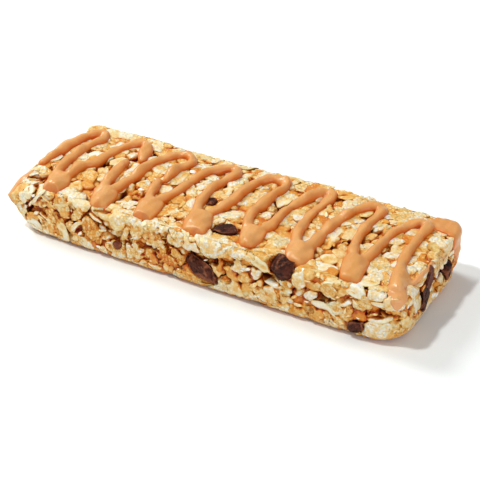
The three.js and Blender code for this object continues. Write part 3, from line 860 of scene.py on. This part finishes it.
# ---- the line of coating
# Stretches of the line, as (x, y, width) along its middle.
LINE = [
    [  # along the left end, round the first turns, to the first break
        (-45.7, -6.0, 2.3), (-45.9, -3.6, 2.9), (-45.8, 0.5, 3.5), (-45.5, 5.0, 3.7), (-44.0, 9.6, 3.2),
        (-41.8, 12.6, 2.9), (-40.1, 9.8, 2.7), (-41.5, 5.0, 2.5), (-41.2, 0.0, 2.7), (-41.0, -4.0, 2.8),
        (-40.0, -8.2, 3.0), (-38.0, -11.0, 3.0), (-37.0, -7.4, 2.9), (-37.0, -3.5, 2.7), (-35.4, -0.8, 2.8),
        (-34.8, 3.0, 2.8), (-33.9, 8.5, 2.8), (-31.8, 12.3, 3.0), (-29.4, 12.6, 3.2), (-28.2, 9.8, 3.2),
        (-27.1, 7.2, 2.8), (-26.6, 6.0, 2.2),
    ],
    [
        (-29.3, 3.6, 2.2), (-29.1, 1.5, 2.6), (-28.4, -3.0, 2.8), (-27.7, -6.8, 3.0), (-25.8, -10.4, 3.0),
        (-24.5, -7.0, 2.9), (-24.0, -1.0, 2.8), (-23.8, 4.0, 2.8), (-22.6, 8.6, 2.7), (-20.6, 12.4, 2.7),
        (-18.0, 13.0, 2.7), (-16.1, 10.8, 2.7), (-17.1, 6.5, 2.6), (-17.3, 2.8, 2.5), (-16.8, 0.8, 1.9),
    ],
    [
        (-17.9, -0.5, 2.0), (-17.4, -2.6, 2.5), (-16.4, -6.4, 2.8), (-14.2, -9.6, 3.0), (-13.0, -6.6, 2.8),
        (-12.0, -1.5, 2.7), (-11.6, 3.4, 2.7), (-10.9, 8.2, 2.7), (-8.6, 12.0, 2.8), (-6.0, 13.1, 2.9),
        (-4.6, 10.8, 2.8), (-5.4, 7.6, 2.6), (-6.0, 3.0, 2.6), (-5.7, -1.5, 2.8), (-4.5, -5.8, 2.9),
        (-2.4, -8.6, 3.0), (-1.0, -6.0, 2.8), (0.2, -1.6, 2.7), (0.5, 3.6, 2.7), (1.4, 9.0, 2.7),
        (3.2, 12.5, 2.9), (6.3, 13.1, 3.1), (7.8, 10.6, 3.0), (7.0, 6.0, 2.9), (6.9, 1.9, 3.3),
        (6.6, -2.0, 2.8), (8.0, -6.2, 2.9), (10.6, -9.0, 3.0), (12.3, -6.0, 3.3), (12.6, -2.6, 2.8),
        (12.3, 0.6, 2.9), (12.7, 4.0, 2.8), (14.2, 8.6, 2.8), (16.2, 12.6, 2.9), (18.4, 12.8, 3.0),
        (18.4, 8.6, 2.6), (17.9, 4.0, 2.6), (18.3, -1.0, 2.6), (19.3, -6.0, 2.9), (22.0, -10.0, 3.0),
        (23.4, -6.6, 2.9), (23.4, -3.0, 2.8), (23.6, 1.4, 2.7), (24.4, 5.6, 2.7), (26.0, 9.8, 2.8),
        (28.2, 12.4, 2.9), (30.7, 12.6, 3.0), (30.5, 8.0, 2.7), (30.2, 3.4, 2.6), (30.8, -1.6, 2.7),
        (32.1, -5.6, 2.9), (34.2, -8.6, 3.0), (35.5, -5.6, 2.8), (35.7, -0.6, 2.7), (36.0, 4.4, 2.7),
        (37.3, 8.6, 2.7), (39.3, 11.6, 2.8), (41.6, 11.2, 2.8), (41.6, 7.0, 2.5), (41.6, 2.0, 2.5),
        (42.0, -3.0, 2.6), (43.2, -7.4, 2.9), (44.2, -10.0, 2.8),
    ],
]
# Thin films of it: thickness, how pale, and knots as in the line. They lie over the back right corner (two),
# along the upper edge of the right end, down the front right corner and along the front left corner.
FILMS = [
    (1.2, 0.05, [
        (39.8, 11.8, 2.6), (42.2, 12.8, 3.6), (44.6, 13.0, 4.8), (46.8, 12.8, 5.2), (49.0, 12.4, 5.0),
        (51.0, 13.0, 4.2), (53.4, 14.0, 3.0), (56.0, 14.6, 1.8),
    ]),
    (1.1, 0.1, [
        (42.4, 14.9, 2.2), (45.4, 15.6, 3.0), (48.4, 15.4, 3.6), (50.8, 15.2, 3.4), (52.6, 15.0, 2.6),
    ]),
    (1.1, 0.6, [
        (44.8, -11.8, 2.2), (46.2, -9.6, 1.1), (46.9, -6.4, 0.9), (47.2, -2.8, 0.9), (47.0, 1.4, 0.8),
    ]),
    (1.0, 0.5, [(44.6, -12.8, 4.0), (45.6, -14.2, 4.2), (46.4, -15.4, 3.6), (47.0, -16.4, 2.6)]),
    (1.2, 0.4, [
        (-45.9, -9.6, 1.4), (-46.0, -11.2, 1.9), (-46.3, -13.0, 2.1), (-46.8, -15.0, 2.1),
        (-47.4, -17.0, 1.8),
    ]),
]
# Where the line turns at the front it pools. A pool is rows along x: where each starts and ends, and its y.
POOLS = [
    [(-41.6, -35.6, -9.0), (-40.4, -34.2, -12.0), (-39.2, -34.4, -14.4)],
    [(-28.8, -22.6, -9.8), (-27.6, -21.9, -12.6), (-26.4, -21.6, -14.6)],
    [(-17.2, -11.2, -9.0), (-16.3, -10.5, -12.0), (-15.5, -10.4, -14.4)],
    [(-5.3, 0.5, -8.0), (-4.6, 2.0, -11.2), (-3.4, 2.4, -14.0)],
    [(7.5, 13.4, -8.0), (8.8, 14.0, -11.4), (10.0, 13.8, -13.2)],
    [(19.0, 25.0, -9.0), (19.6, 26.0, -11.4), (21.0, 25.8, -13.8)],
    [(31.0, 37.0, -8.0), (31.8, 37.3, -11.0), (33.2, 37.9, -14.2)],
    [(41.8, 46.0, -8.4), (42.6, 46.4, -11.4), (43.4, 46.4, -13.0)],
]
# And the y that each pool is cut off at.
POOL_ENDS = (-15.8, -16.4, -15.8, -15.6, -15.2, -15.8, -16.0, -15.6)
POOL_BEAD = 3.0  # how wide a pool's beads are
POOL_ROWS, POOL_ACROSS = 12, 7
POOL_DOME, POOL_DOME_FALL = 1.15, 0.55  # how high a pool is in its middle, and how much less at its sides
POOL_ROUND = 0.06  # how round its end is in plan
POOL_SLOPE = 0.7  # how much its end draws back as it rises
POOL_RIPPLE, POOL_RIPPLE_TURN = 0.12, 2.1
STRAND_HIGH = 2.8  # how thick the line is before it is laid, half of it below its middle
BEAD_STEP = 0.4
VOXEL = 0.28
COATING_WAVES = ((5.0, 0.18), (2.4, 0.1))  # their wave and amount
CLEAR = 0.1  # how far the coating's middle stands above the granola
BEND = 1.2  # the radius that the coating bends round at the top's edge
EDGE_IN = 0.25  # how far inside the outline it comes down
THIN_OVER_EDGE = 0.2  # and how much thinner it gets there
THINNER = 0.9  # the line, as a share of the widths above
HEIGHT_CELL = 0.5
HEIGHT_MARGIN = 4
HEIGHT_BLUR, HEIGHT_REACH = 1.1, 6  # how far the coating bridges gaps, and the reach of that in cells
GAP_DEPTH = 0.7  # how far below the top the granola counts as being between its pieces
FALL_INSIDE, FALL = 1.2, 0.5  # how far inside the outline it starts to fall away, and how steeply
TOP_LAYER = 3  # pieces' points that lie deeper than this don't carry the coating


def spline(knots, step):
    """Points every step or so along a Catmull-Rom curve through knots, with what else the knots hold."""
    k = np.array(knots, float)
    k = np.concatenate([[2 * k[0] - k[1]], k, [2 * k[-1] - k[-2]]])
    run = []
    for a, b, c, d in zip(k, k[1:], k[2:], k[3:]):
        n = max(2, int(np.linalg.norm((c - b)[:2]) / step))
        t = np.linspace(0, 1, n, endpoint=False)[:, None]
        run.append(0.5 * (2 * b + (c - a) * t + (2 * a - 5 * b + 4 * c - d) * t ** 2
                          + (3 * b - a - 3 * c + d) * t ** 3))
    return np.concatenate(run + [k[-2:-1]])


def granola_heights(piles):
    """The granola's height at points over the bar, evened out as far as a thick liquid evens it."""
    reach = np.array([HALF_LONG, HALF_WIDE]) + HEIGHT_MARGIN
    shape = tuple((2 * reach / HEIGHT_CELL).astype(int) + 1)
    xs, ys = np.meshgrid(*(np.arange(n) * HEIGHT_CELL - r for n, r in zip(shape, reach)), indexing="ij")
    outside, _ = outline(np.stack([xs.ravel(), ys.ravel(), np.full(xs.size, TOP)], 1))
    height = (TOP - GAP_DEPTH - FALL * np.maximum(outside + FALL_INSIDE, 0)).reshape(shape)
    p = np.concatenate([points for pile in piles for points in pile.points])
    p = p[p[:, 2] > TOP - TOP_LAYER]
    at = np.round((p[:, :2] + reach) / HEIGHT_CELL).astype(int)
    np.maximum.at(height, (at[:, 0], at[:, 1]), p[:, 2])
    height = evened(height, HEIGHT_BLUR / HEIGHT_CELL, HEIGHT_REACH, "edge")
    return lambda q: sampled(height, -reach, HEIGHT_CELL, q[:, :2])


def pool_beads(rows):
    """Beads that fill a pool, row by row, and how high each is: the pool is a dome."""
    rows = np.array(rows, float)
    beads, high = [], []
    for t in np.linspace(0, len(rows) - 1, POOL_ROWS):
        left, right, y = (np.interp(t, range(len(rows)), column) for column in rows.T)
        for across in np.linspace(-1, 1, POOL_ACROSS):
            beads.append(((left + right) / 2 + across * (right - left - POOL_BEAD) / 2, y, POOL_BEAD))
            high.append(STRAND_HIGH * (POOL_DOME - POOL_DOME_FALL * across ** 2))
    return beads, high


def coating_beads(rng):
    """Beads along the line, in its pools and in the films: where and how wide, how high, and how pale."""
    line = np.array([bead for stretch in LINE for bead in spline(stretch, BEAD_STEP)])
    line[:, 2] *= THINNER + slow_bumps(rng, line * LEVEL_ONLY, wave=2.8, amount=0.12)
    line_high = STRAND_HIGH * np.minimum(1, 0.3 + 0.25 * line[:, 2])  # where it is narrow it is thin too
    pools, pools_high = (np.concatenate(part) for part in zip(*map(pool_beads, POOLS)))
    beads, high, pale = [line, pools], [line_high, pools_high], [np.zeros(len(line) + len(pools))]
    for thickness, paleness, stretch in FILMS:
        beads.append(spline(stretch, BEAD_STEP))
        high.append(np.full(len(beads[-1]), thickness))
        pale.append(np.full(len(beads[-1]), paleness))
    return np.concatenate(beads), np.concatenate(high), np.concatenate(pale)


def fused(beads, high):
    """The beads as one smooth skin, by a voxel remesh: its points and triangles."""
    ball, ball_triangles = sphere_grid(14, 4, 4)
    points = [ball * (wide / 2, wide / 2, thick / 2) + (x, y, 0) for (x, y, wide), thick in zip(beads, high)]
    triangles = [ball_triangles + i * len(ball) for i in range(len(points))]
    raw = mesh_of("raw_coating", np.concatenate(points), np.concatenate(triangles))
    maker = bpy.data.objects.new("raw_coating", raw)
    bpy.context.scene.collection.objects.link(maker)
    remesh = maker.modifiers.new("fuse", "REMESH")
    remesh.mode = "VOXEL"
    remesh.voxel_size = VOXEL * MM
    smooth = maker.modifiers.new("even", "SMOOTH")
    smooth.factor = 0.5
    smooth.iterations = 4
    made = maker.evaluated_get(bpy.context.evaluated_depsgraph_get()).to_mesh()
    made.calc_loop_triangles()
    p = np.empty(len(made.vertices) * 3)
    made.vertices.foreach_get("co", p)
    t = np.empty(len(made.loop_triangles) * 3, int)
    made.loop_triangles.foreach_get("vertices", t)
    bpy.data.objects.remove(maker)
    return p.reshape(-1, 3) / MM, t.reshape(-1, 3)


def nearest_beads(beads, p):
    """The bead that lies nearest to each point in plan."""
    tree = KDTree(len(beads))
    for i, (x, y, _) in enumerate(beads):
        tree.insert((x, y, 0), i)
    tree.balance()
    return [tree.find((x, y, 0))[1] for x, y, _ in p]


def pool_end(p):
    """The y that the pool nearest to each point is cut off at, for the point's height over the level."""
    middles = np.array([np.mean([row[:2] for row in rows]) for rows in POOLS])
    nearest = np.abs(p[:, :1] - middles).argmin(1)
    off = p[:, 0] - middles[nearest]
    end = np.array(POOL_ENDS)[nearest] + POOL_ROUND * off ** 2 + POOL_SLOPE * p[:, 2]
    return end + POOL_RIPPLE * np.sin(p[:, 0] * POOL_RIPPLE_TURN)


def coating(height):
    """The line, its pools and its films, fused on the level and laid over the granola. Its tone is above 0
    where a pool is cut off at its end, and below 0, as pale as it is, in a film."""
    rng = np.random.default_rng([SEED, 8])
    beads, high, paleness = coating_beads(rng)
    p, triangles = fused(beads, high)
    which = nearest_beads(beads, p)
    line = paleness[which] == 0
    end = pool_end(p)
    cut = ramp(end - p[:, 1], 0, 0.3) * line
    p[:, 1] = np.where(line, end - soften(end - p[:, 1], 0.2), p[:, 1])
    lift = p[:, 2].copy()
    crest = np.clip(lift / high[which] * 2, 0, 1)
    lift += sum(slow_bumps(rng, p * LEVEL_ONLY, *waves) for waves in COATING_WAVES) * (lift > 0)
    pile = Pile()
    pile.add(draped(p[:, :2], lift + CLEAR, height), triangles, 0, crest)
    pile.tone = [cut - paleness[which]]
    return pile


def draped(plan, lift, height):
    """Points at a height over the granola, given on the level, follow it and bend down over its edge."""
    p = np.concatenate([plan, np.full((len(plan), 1), TOP - BEND)], 1)
    distance, way = outline(p)
    past = np.maximum(distance + BEND + EDGE_IN, 0)
    turn = np.minimum(past / BEND, math.pi / 2)
    p[:, :2] += way * (BEND * np.sin(turn) - past)[:, None]
    down = BEND * (1 - np.cos(turn)) + np.maximum(past - BEND * math.pi / 2, 0)
    level = p.copy()
    level[:, :2] -= way * (BEND * np.sin(turn))[:, None]
    p[:, 2] = height(level) - down
    for _ in range(4):  # the side that it comes down isn't upright everywhere
        outside, _ = outline(p)
        p[:, :2] += way * ((BEND * np.sin(turn) - BEND - EDGE_IN - outside) * np.sin(turn) ** 2)[:, None]
    lift = lift * (1 - THIN_OVER_EDGE * np.sin(turn))
    p[:, :2] += way * (lift * np.sin(turn))[:, None]
    p[:, 2] += lift * np.cos(turn)
    return p


# ---- meshes and materials
AHEAD = 0.6  # how far ahead of a face the crowding is felt
FULL_HOLLOW = 2.2  # a hollow is full of syrup and painted shade from this depth on
RIM_SYRUP = 0.5  # syrup on the underside
RIM_FALL = 0.2  # and how fast it thins up the sides, per millimetre


def mesh_of(name, points, triangles):
    mesh = bpy.data.meshes.new(name)
    mesh.vertices.add(len(points))
    mesh.vertices.foreach_set("co", (points * MM).astype(np.float32).ravel())
    mesh.loops.add(triangles.size)
    mesh.loops.foreach_set("vertex_index", triangles.astype(np.int32).ravel())
    mesh.polygons.add(len(triangles))
    mesh.polygons.foreach_set("loop_start", np.arange(0, triangles.size, 3, dtype=np.int32))
    mesh.update(calc_edges=True)
    mesh.validate()
    mesh.shade_smooth()
    return mesh


def syrup_and_shade_at(p, facing, crowding):
    """Syrup with painted shade between pieces and in the hollows, and syrup alone along the lower edge."""
    in_hollow = hollow_share(p) * np.clip(depth_of(p) / FULL_HOLLOW, 0, 1)
    gathered_and_shaded = np.maximum(crowding(p + facing * AHEAD), in_hollow)
    return np.maximum(gathered_and_shaded, RIM_SYRUP - RIM_FALL * p[:, 2])


def as_piece(name, pile, crowding, material, slot):
    """A pile as one mesh object that stands for the CAD node. Marks: tone, crest, syrup with painted shade.
    """
    points = np.concatenate(pile.points)
    mesh = mesh_of(name, points, np.concatenate(pile.triangles))
    facing = np.empty(len(points) * 3)
    mesh.vertices.foreach_get("normal", facing)
    syrup = syrup_and_shade_at(points, facing.reshape(-1, 3), crowding)
    marks = (np.concatenate(pile.tone), np.concatenate(pile.crest), syrup, np.ones(len(points)))
    colour = np.stack(marks, 1).astype(np.float32)
    layer = mesh.color_attributes.new("marks", "FLOAT_COLOR", "POINT")
    layer.data.foreach_set("color", colour.ravel())
    mesh.materials.append(material)
    piece = bpy.data.objects.new(name, mesh)
    bpy.context.scene.collection.objects.link(piece)
    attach(piece, "root")
    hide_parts(NODE)


class Shader:
    """A material's nodes, made one call at a time."""

    def __init__(self, name):
        self.material = bpy.data.materials.new(name)
        self.material.use_nodes = True
        self.nodes = self.material.node_tree.nodes
        self.links = self.material.node_tree.links
        self.main = self.nodes["Principled BSDF"]
        self.place = self.node("ShaderNodeTexCoord").outputs["Object"]
        marks = self.node("ShaderNodeVertexColor")
        marks.layer_name = "marks"
        split = self.node("ShaderNodeSeparateColor")
        self.links.new(marks.outputs["Color"], split.inputs[0])
        # The third mark is syrup with painted shade: higher between the pieces and in the hollows.
        self.tone, self.crest, self.syrup = split.outputs[:3]

    def node(self, kind, **settings):
        made = self.nodes.new(kind)
        for key, value in settings.items():
            setattr(made, key, value)
        return made

    def put(self, socket, value):
        if isinstance(value, bpy.types.NodeSocket):
            self.links.new(value, socket)
        else:
            socket.default_value = value

    def texture(self, kind, size_mm, output, **inputs):
        made = self.node(kind)
        self.links.new(self.place, made.inputs["Vector"])
        for name, value in dict(inputs, Scale=1 / (size_mm * MM)).items():
            made.inputs[name].default_value = value
        return made.outputs[output]

    def noise(self, size_mm, detail=2.0, rough=0.5):
        return self.texture("ShaderNodeTexNoise", size_mm, "Fac", Detail=detail, Roughness=rough)

    def patches(self, size_mm, low, high):
        """A value that drifts between two others, over patches of that size."""
        return self.ranged(self.noise(size_mm), 0.3, 0.7, low, high)

    def foam(self, size_mm):
        """1 on the tops of small bubbles, 0 in the creases between them."""
        return self.ranged(self.texture("ShaderNodeTexVoronoi", size_mm, "Distance"), 0.1, 0.65, 1, 0)

    def ranged(self, value, low, high, to_low=0.0, to_high=1.0):
        made = self.node("ShaderNodeMapRange")
        for socket, setting in zip(made.inputs, (value, low, high, to_low, to_high)):
            self.put(socket, setting)
        return made.outputs[0]

    def math(self, operation, a, b):
        made = self.node("ShaderNodeMath", operation=operation)
        self.put(made.inputs[0], a)
        self.put(made.inputs[1], b)
        return made.outputs[0]

    def total(self, *values):
        result = values[0]
        for value in values[1:]:
            result = self.math("ADD", result, value)
        return result

    def mix(self, share, a, b, blend="MIX"):
        made = self.node("ShaderNodeMix", data_type="RGBA", blend_type=blend)
        sockets = [s for s in made.inputs if s.enabled and s.type == "RGBA"]
        self.put(made.inputs["Factor"], share)
        for socket, value in zip(sockets, (a, b)):
            self.put(socket, value if isinstance(value, bpy.types.NodeSocket) else (*value, 1))
        return next(s for s in made.outputs if s.enabled and s.type == "RGBA")

    def layered(self, colour, *layers):
        """A colour with others laid over it in turn, each by its share."""
        for share, over in layers:
            colour = self.mix(share, colour, over)
        return colour

    def bump(self, height, distance_mm, below=None):
        made = self.node("ShaderNodeBump")
        made.inputs["Distance"].default_value = distance_mm * MM
        made.inputs["Strength"].default_value = 1.0
        self.links.new(height, made.inputs["Height"])
        if below is not None:
            self.links.new(below, made.inputs["Normal"])
        return made.outputs["Normal"]

    def finish(self, colour, roughness, normal, **settings):
        self.put(self.main.inputs["Base Color"], colour)
        self.put(self.main.inputs["Roughness"], roughness)
        self.links.new(normal, self.main.inputs["Normal"])
        self.links.new(normal, self.main.inputs["Coat Normal"])
        for name, value in settings.items():
            self.put(self.main.inputs[name.replace("_", " ")], value)
        return self.material


def srgb(red, green, blue):
    """A colour given as it looks, 0 to 255, for a socket that wants it linear."""
    shares = [channel / 255 for channel in (red, green, blue)]
    return tuple(((c + 0.055) / 1.055) ** 2.4 if c > 0.0404 else c / 12.92 for c in shares)


FLOUR = srgb(253, 249, 241)
PALE = srgb(251, 243, 224)
CREAM = srgb(249, 236, 211)
# Dark brown of deep syrup with painted shade, for the deepest gaps.
SYRUP_AND_SHADE_BROWN = srgb(102, 34, 7)
SYRUP_TINT = (0.85, 0.44, 0.095)  # what a thin coat of syrup lets through
CEREAL = dict(
    Specular_IOR_Level=0.2, Coat_Roughness=0.1,
    Subsurface_Weight=0.25, Subsurface_Radius=(1.0, 0.6, 0.3), Subsurface_Scale=0.4 * MM,
)


def syruped_and_shaded(s, body, own, speckled):
    """A body colour under syrup, which takes blue first, then green: its own coat, and what has gathered
    between the pieces with painted shade, up to a painted dark brown shade deep down. Floury specks have
    less of it."""
    amount = s.math("ADD", own, s.ranged(s.syrup, 0.25, 0.56, 0, 2.4))
    amount = s.math("MULTIPLY", amount, s.ranged(s.noise(0.5, 3), 0.52, 0.6, 1.0, speckled))
    tint = s.node("ShaderNodeGamma")
    tint.inputs["Color"].default_value = (*SYRUP_TINT, 1)
    s.put(tint.inputs["Gamma"], amount)
    body = s.mix(1.0, body, tint.outputs[0], "MULTIPLY")
    # Painted shade: dark brown where the syrup-and-shade mark is deepest.
    return s.mix(s.ranged(s.syrup, 0.5, 0.76, 0, 0.88), body, SYRUP_AND_SHADE_BROWN)


def blotches(s, wide_mm, most, foam_mm, creases):
    """Syrup that has soaked in: in patches and between the bubbles, the more the darker the piece is."""
    patches = s.ranged(s.noise(wide_mm, 3), 0.47, 0.63, 0, most)
    both = s.total(patches, s.ranged(s.foam(foam_mm), 0.5, 0, 0, creases))
    return s.math("MULTIPLY", both, s.ranged(s.tone, 0, 1, 0.35, 1.25))


def wet(s, dry=0.1, wettest=0.6):
    """The weight of the gloss: more where syrup has gathered, as the mark of syrup with painted shade says.
    """
    return s.ranged(s.syrup, 0.22, 0.45, dry, wettest)


def cereal(s, body, own, roughness, skin, speckled=0.5, gloss=()):
    """A material of cereal: a body colour under syrup and painted shade, and glossier where more has
    gathered.
    """
    colour = syruped_and_shaded(s, body, own, speckled)
    return s.finish(colour, roughness, skin, Coat_Weight=wet(s, *gloss), **CEREAL)


def rice_material():
    s = Shader("puffed_rice")
    body = s.mix(s.foam(0.7), CREAM, FLOUR)
    own = s.total(
        # Darker in the creases and pits of the bubble relief: syrup there, with painted shade.
        s.ranged(s.tone, 0.5, 1, 0, 0.5), s.ranged(s.crest, 0.0, -0.8, 0, 0.4),
        blotches(s, 1.9, 0.5, 0.7, 0.3),
    )
    skin = s.bump(s.noise(0.6, 4, 0.7), 0.45)
    skin = s.bump(s.foam(0.7), 0.18, below=skin)
    return cereal(s, body, own, s.patches(1.2, 0.4, 0.6), skin)


def glazed_material():
    s = Shader("glazed_rice")
    body = s.mix(s.foam(0.6), CREAM, PALE)
    own = s.total(
        s.ranged(s.tone, 0, 1, 0.05, 0.75), s.ranged(s.tone, 0.8, 1, 0, 0.6),
        # Darker in the creases and pits of the bubble relief: syrup there, with painted shade.
        s.ranged(s.crest, 0.0, -0.7, 0, 0.5), blotches(s, 1.8, 0.4, 0.6, 0.2),
    )
    skin = s.bump(s.noise(0.6, 4, 0.7), 0.4)
    return cereal(s, body, own, s.patches(1.0, 0.3, 0.5), skin, speckled=0.85, gloss=(0.35, 0.8))


def crag_material():
    s = Shader("broken_crisps")
    body = s.mix(s.foam(0.6), CREAM, FLOUR)
    own = s.total(
        # Darker in the creases and pits of the bubble relief: syrup there, with painted shade.
        s.ranged(s.tone, 0.4, 1, 0, 0.85), s.ranged(s.crest, 0.0, -0.9, 0, 0.6),
        blotches(s, 2.0, 0.5, 0.6, 0.35),
    )
    skin = s.bump(s.noise(0.6, 5, 0.7), 0.45)
    skin = s.bump(s.foam(0.6), 0.18, below=skin)
    return cereal(s, body, own, 0.55, skin, speckled=0.4)


def flake_material():
    s = Shader("oat_flakes")
    body = s.mix(s.ranged(s.noise(1.6, 3), 0.46, 0.62), PALE, FLOUR)
    own = s.total(
        s.ranged(s.tone, 0.3, 1, 0, 0.65), s.ranged(s.crest, 0.7, 1.0, 0, 0.2),
        blotches(s, 1.8, 0.45, 0.6, 0.1),
    )
    skin = s.bump(s.noise(0.55, 4, 0.7), 0.4)
    return cereal(s, body, own, s.patches(1.2, 0.35, 0.55), skin, speckled=0.7)


def crumb_material():
    s = Shader("crumbs")
    own = s.math("ADD", s.ranged(s.tone, 0.2, 1, 0, 0.6), s.ranged(s.crest, 0.5, 1.0, 0, 0.9))
    skin = s.bump(s.noise(0.5, 3), 0.25)
    return cereal(s, FLOUR, own, 0.5, skin)


def syrup_material():
    s = Shader("syrup_core")
    body = s.mix(s.foam(0.6), CREAM, FLOUR)
    own = s.total(s.ranged(s.noise(2.8, 3), 0.42, 0.62, 0.1, 1.1), s.ranged(s.foam(0.6), 0.5, 0, 0, 0.25))
    skin = s.bump(s.noise(1.1, 4, 0.65), 0.6)
    skin = s.bump(s.foam(0.6), 0.16, below=skin)
    return cereal(s, body, own, 0.4, skin, gloss=(0.15,))


def chocolate_material():
    s = Shader("chocolate")
    # Lighter on the ridges and raised dents: scuffs, with a painted highlight.
    scuffs_and_highlight = s.math("MULTIPLY", s.ranged(s.crest, 0.3, 0.9), s.ranged(s.noise(1.2, 3), 0.4, 0.54, 0, 0.8))
    body = s.layered(
        srgb(16, 5, 3),
        (s.ranged(s.noise(1.3, 4), 0.4, 0.62), srgb(92, 42, 26)),
        (s.ranged(s.tone, 0.15, 1.0, 0, 0.8), srgb(138, 74, 56)),  # the browner drops
        (scuffs_and_highlight, srgb(168, 98, 66)),
        (s.ranged(s.noise(0.6, 4, 0.65), 0.58, 0.7, 0, 0.6), srgb(140, 78, 52)),  # dust
    )
    skin = s.bump(s.noise(1.5, 3), 1.4)
    skin = s.bump(s.noise(0.7, 4, 0.65), 0.8, below=skin)
    return s.finish(
        body, s.patches(0.9, 0.34, 0.6), skin,
        Specular_IOR_Level=0.1, Coat_Weight=0.04, Coat_Roughness=0.2,
    )


def coating_material():
    s = Shader("coating")
    body = s.layered(
        srgb(214, 148, 80),
        (s.ranged(s.noise(6.0, 2), 0.35, 0.65), srgb(220, 158, 92)),
        (s.ranged(s.crest, 0.9, 0.2, 0, 0.95), srgb(216, 116, 30)),  # painted shade, deeper orange, on its sides and lower down
        (s.ranged(s.syrup, 0.05, 0.4, 0, 0.85), srgb(208, 98, 16)),  # painted shade, deep orange, where it lies against the granola
        (s.ranged(s.noise(0.7, 3), 0.6, 0.8, 0, 0.25), srgb(206, 124, 62)),  # specks
        (s.ranged(s.tone, 0.0, 1.0, 0, 0.6), srgb(196, 112, 62)),  # the cut ends of the pools, darker: their own colour with painted shade
        (s.ranged(s.tone, 0.0, -1.0, 0, 0.9), srgb(226, 168, 112)),  # the films
    )
    skin = s.bump(s.noise(1.8, 3), 0.25)
    skin = s.bump(s.noise(0.4, 2), 0.04, below=skin)
    return s.finish(
        body, s.patches(2.0, 0.36, 0.5), skin, Specular_IOR_Level=0.25,
        Subsurface_Weight=0.25, Subsurface_Radius=(1.0, 0.4, 0.12), Subsurface_Scale=1.0 * MM,
        Coat_Weight=0.4, Coat_Roughness=0.2,
    )


# ---- camera, light and floor
AZIMUTH, ELEVATION = math.radians(29.6), math.radians(32.1)
TARGET = Vector((5.1, -4.45, 6.25)) * MM
DISTANCE = 273 * MM
IMAGE_SIDE = 480
FOCAL_PIXELS = 1272

COOL, WHITE = (0.95, 1.0, 0.985), (1.0, 1.0, 1.0)
LIGHTS = [  # name, place in metres, diameter, watts, colour
    ("key", (-0.48, 0.12, 0.48), 0.24, 2.8, COOL),
    ("glint", (-0.2, -0.15, 0.6), 0.06, 2.0, COOL),
    ("fill", (0.78, -0.36, 0.3), 0.6, 2.5, WHITE),
]
WORLD_COLOUR, WORLD_STRENGTH = (0.98, 0.99, 1.0, 1), 0.36
FLOOR_COLOUR, FLOOR_ROUGHNESS = (0.93, 0.93, 0.925, 1), 0.9
FLOOR_HALF = 1.5  # metres


def placed(name, data, location, target):
    """A new object in the scene, looking from a place at a target."""
    made = bpy.data.objects.new(name, data)
    made.location = location
    made.rotation_euler = (target - made.location).to_track_quat("-Z", "Y").to_euler()
    bpy.context.scene.collection.objects.link(made)
    return made


def camera():
    data = bpy.data.cameras.new("camera")
    data.sensor_width = 36
    data.lens = FOCAL_PIXELS / IMAGE_SIDE * data.sensor_width
    data.clip_start = 0.01
    level = math.cos(ELEVATION)
    back = Vector((math.sin(AZIMUTH) * level, -math.cos(AZIMUTH) * level, math.sin(ELEVATION)))
    bpy.context.scene.camera = placed("camera", data, TARGET + back * DISTANCE, TARGET)


def lights():
    for name, place, side, power, colour in LIGHTS:
        lamp = bpy.data.lights.new(name, "AREA")
        lamp.shape = "DISK"
        lamp.size = side
        lamp.energy = power
        lamp.color = colour
        placed(name, lamp, place, Vector((0, 0, 0)))
    world = bpy.data.worlds.new("studio")
    world.use_nodes = True
    background = world.node_tree.nodes["Background"]
    background.inputs["Color"].default_value = WORLD_COLOUR
    background.inputs["Strength"].default_value = WORLD_STRENGTH
    bpy.context.scene.world = world
    bpy.context.scene.view_settings.view_transform = "Standard"


def ground():
    mesh = bpy.data.meshes.new("floor")
    corners = [(x * FLOOR_HALF, y * FLOOR_HALF, 0) for x, y in ((-1, -1), (1, -1), (1, 1), (-1, 1))]
    mesh.from_pydata(corners, [], [(0, 1, 2, 3)])
    shader = Shader("floor")
    shader.main.inputs["Base Color"].default_value = FLOOR_COLOUR
    shader.main.inputs["Roughness"].default_value = FLOOR_ROUGHNESS
    mesh.materials.append(shader.material)
    floor = bpy.data.objects.new("floor", mesh)
    bpy.context.scene.collection.objects.link(floor)


def build():
    pale_rule, gold_rule = ("pale", 3, PALE_GRAINS, PALE_DEPTH), ("gold", 4, GOLD_GRAINS, GOLD_DEPTH)
    taken = np.concatenate([drop_spots(), NAMED_SPOTS])
    granola = []
    for strew, rule in ((flakes, ()), (crags, ()), (grains, pale_rule), (grains, gold_rule)):
        pile, spots = strew(taken, *rule)
        taken = np.concatenate([taken, spots])
        granola.append(pile)
    flake_pile, crag_pile, pale, gold = granola
    crowding = crowding_of([*granola, CHOCOLATE])
    line = coating(granola_heights(granola))
    for name, pile, material, slot in (
        ("syrup_core", core(), syrup_material(), "syrup"),
        ("puffed_rice", pale, rice_material(), "puffed_rice"),
        ("glazed_rice", gold, glazed_material(), "puffed_rice"),
        ("broken_crisps", crag_pile, crag_material(), "puffed_rice"),
        ("oat_flakes", flake_pile, flake_material(), "oat_flake"),
        ("crumbs", crumbs(), crumb_material(), "puffed_rice"),
        ("chocolate_drops", CHOCOLATE, chocolate_material(), "chocolate"),
        ("coating_line", line, coating_material(), "coating"),
    ):
        as_piece(name, pile, crowding, material, slot)


build()
camera()
lights()
ground()
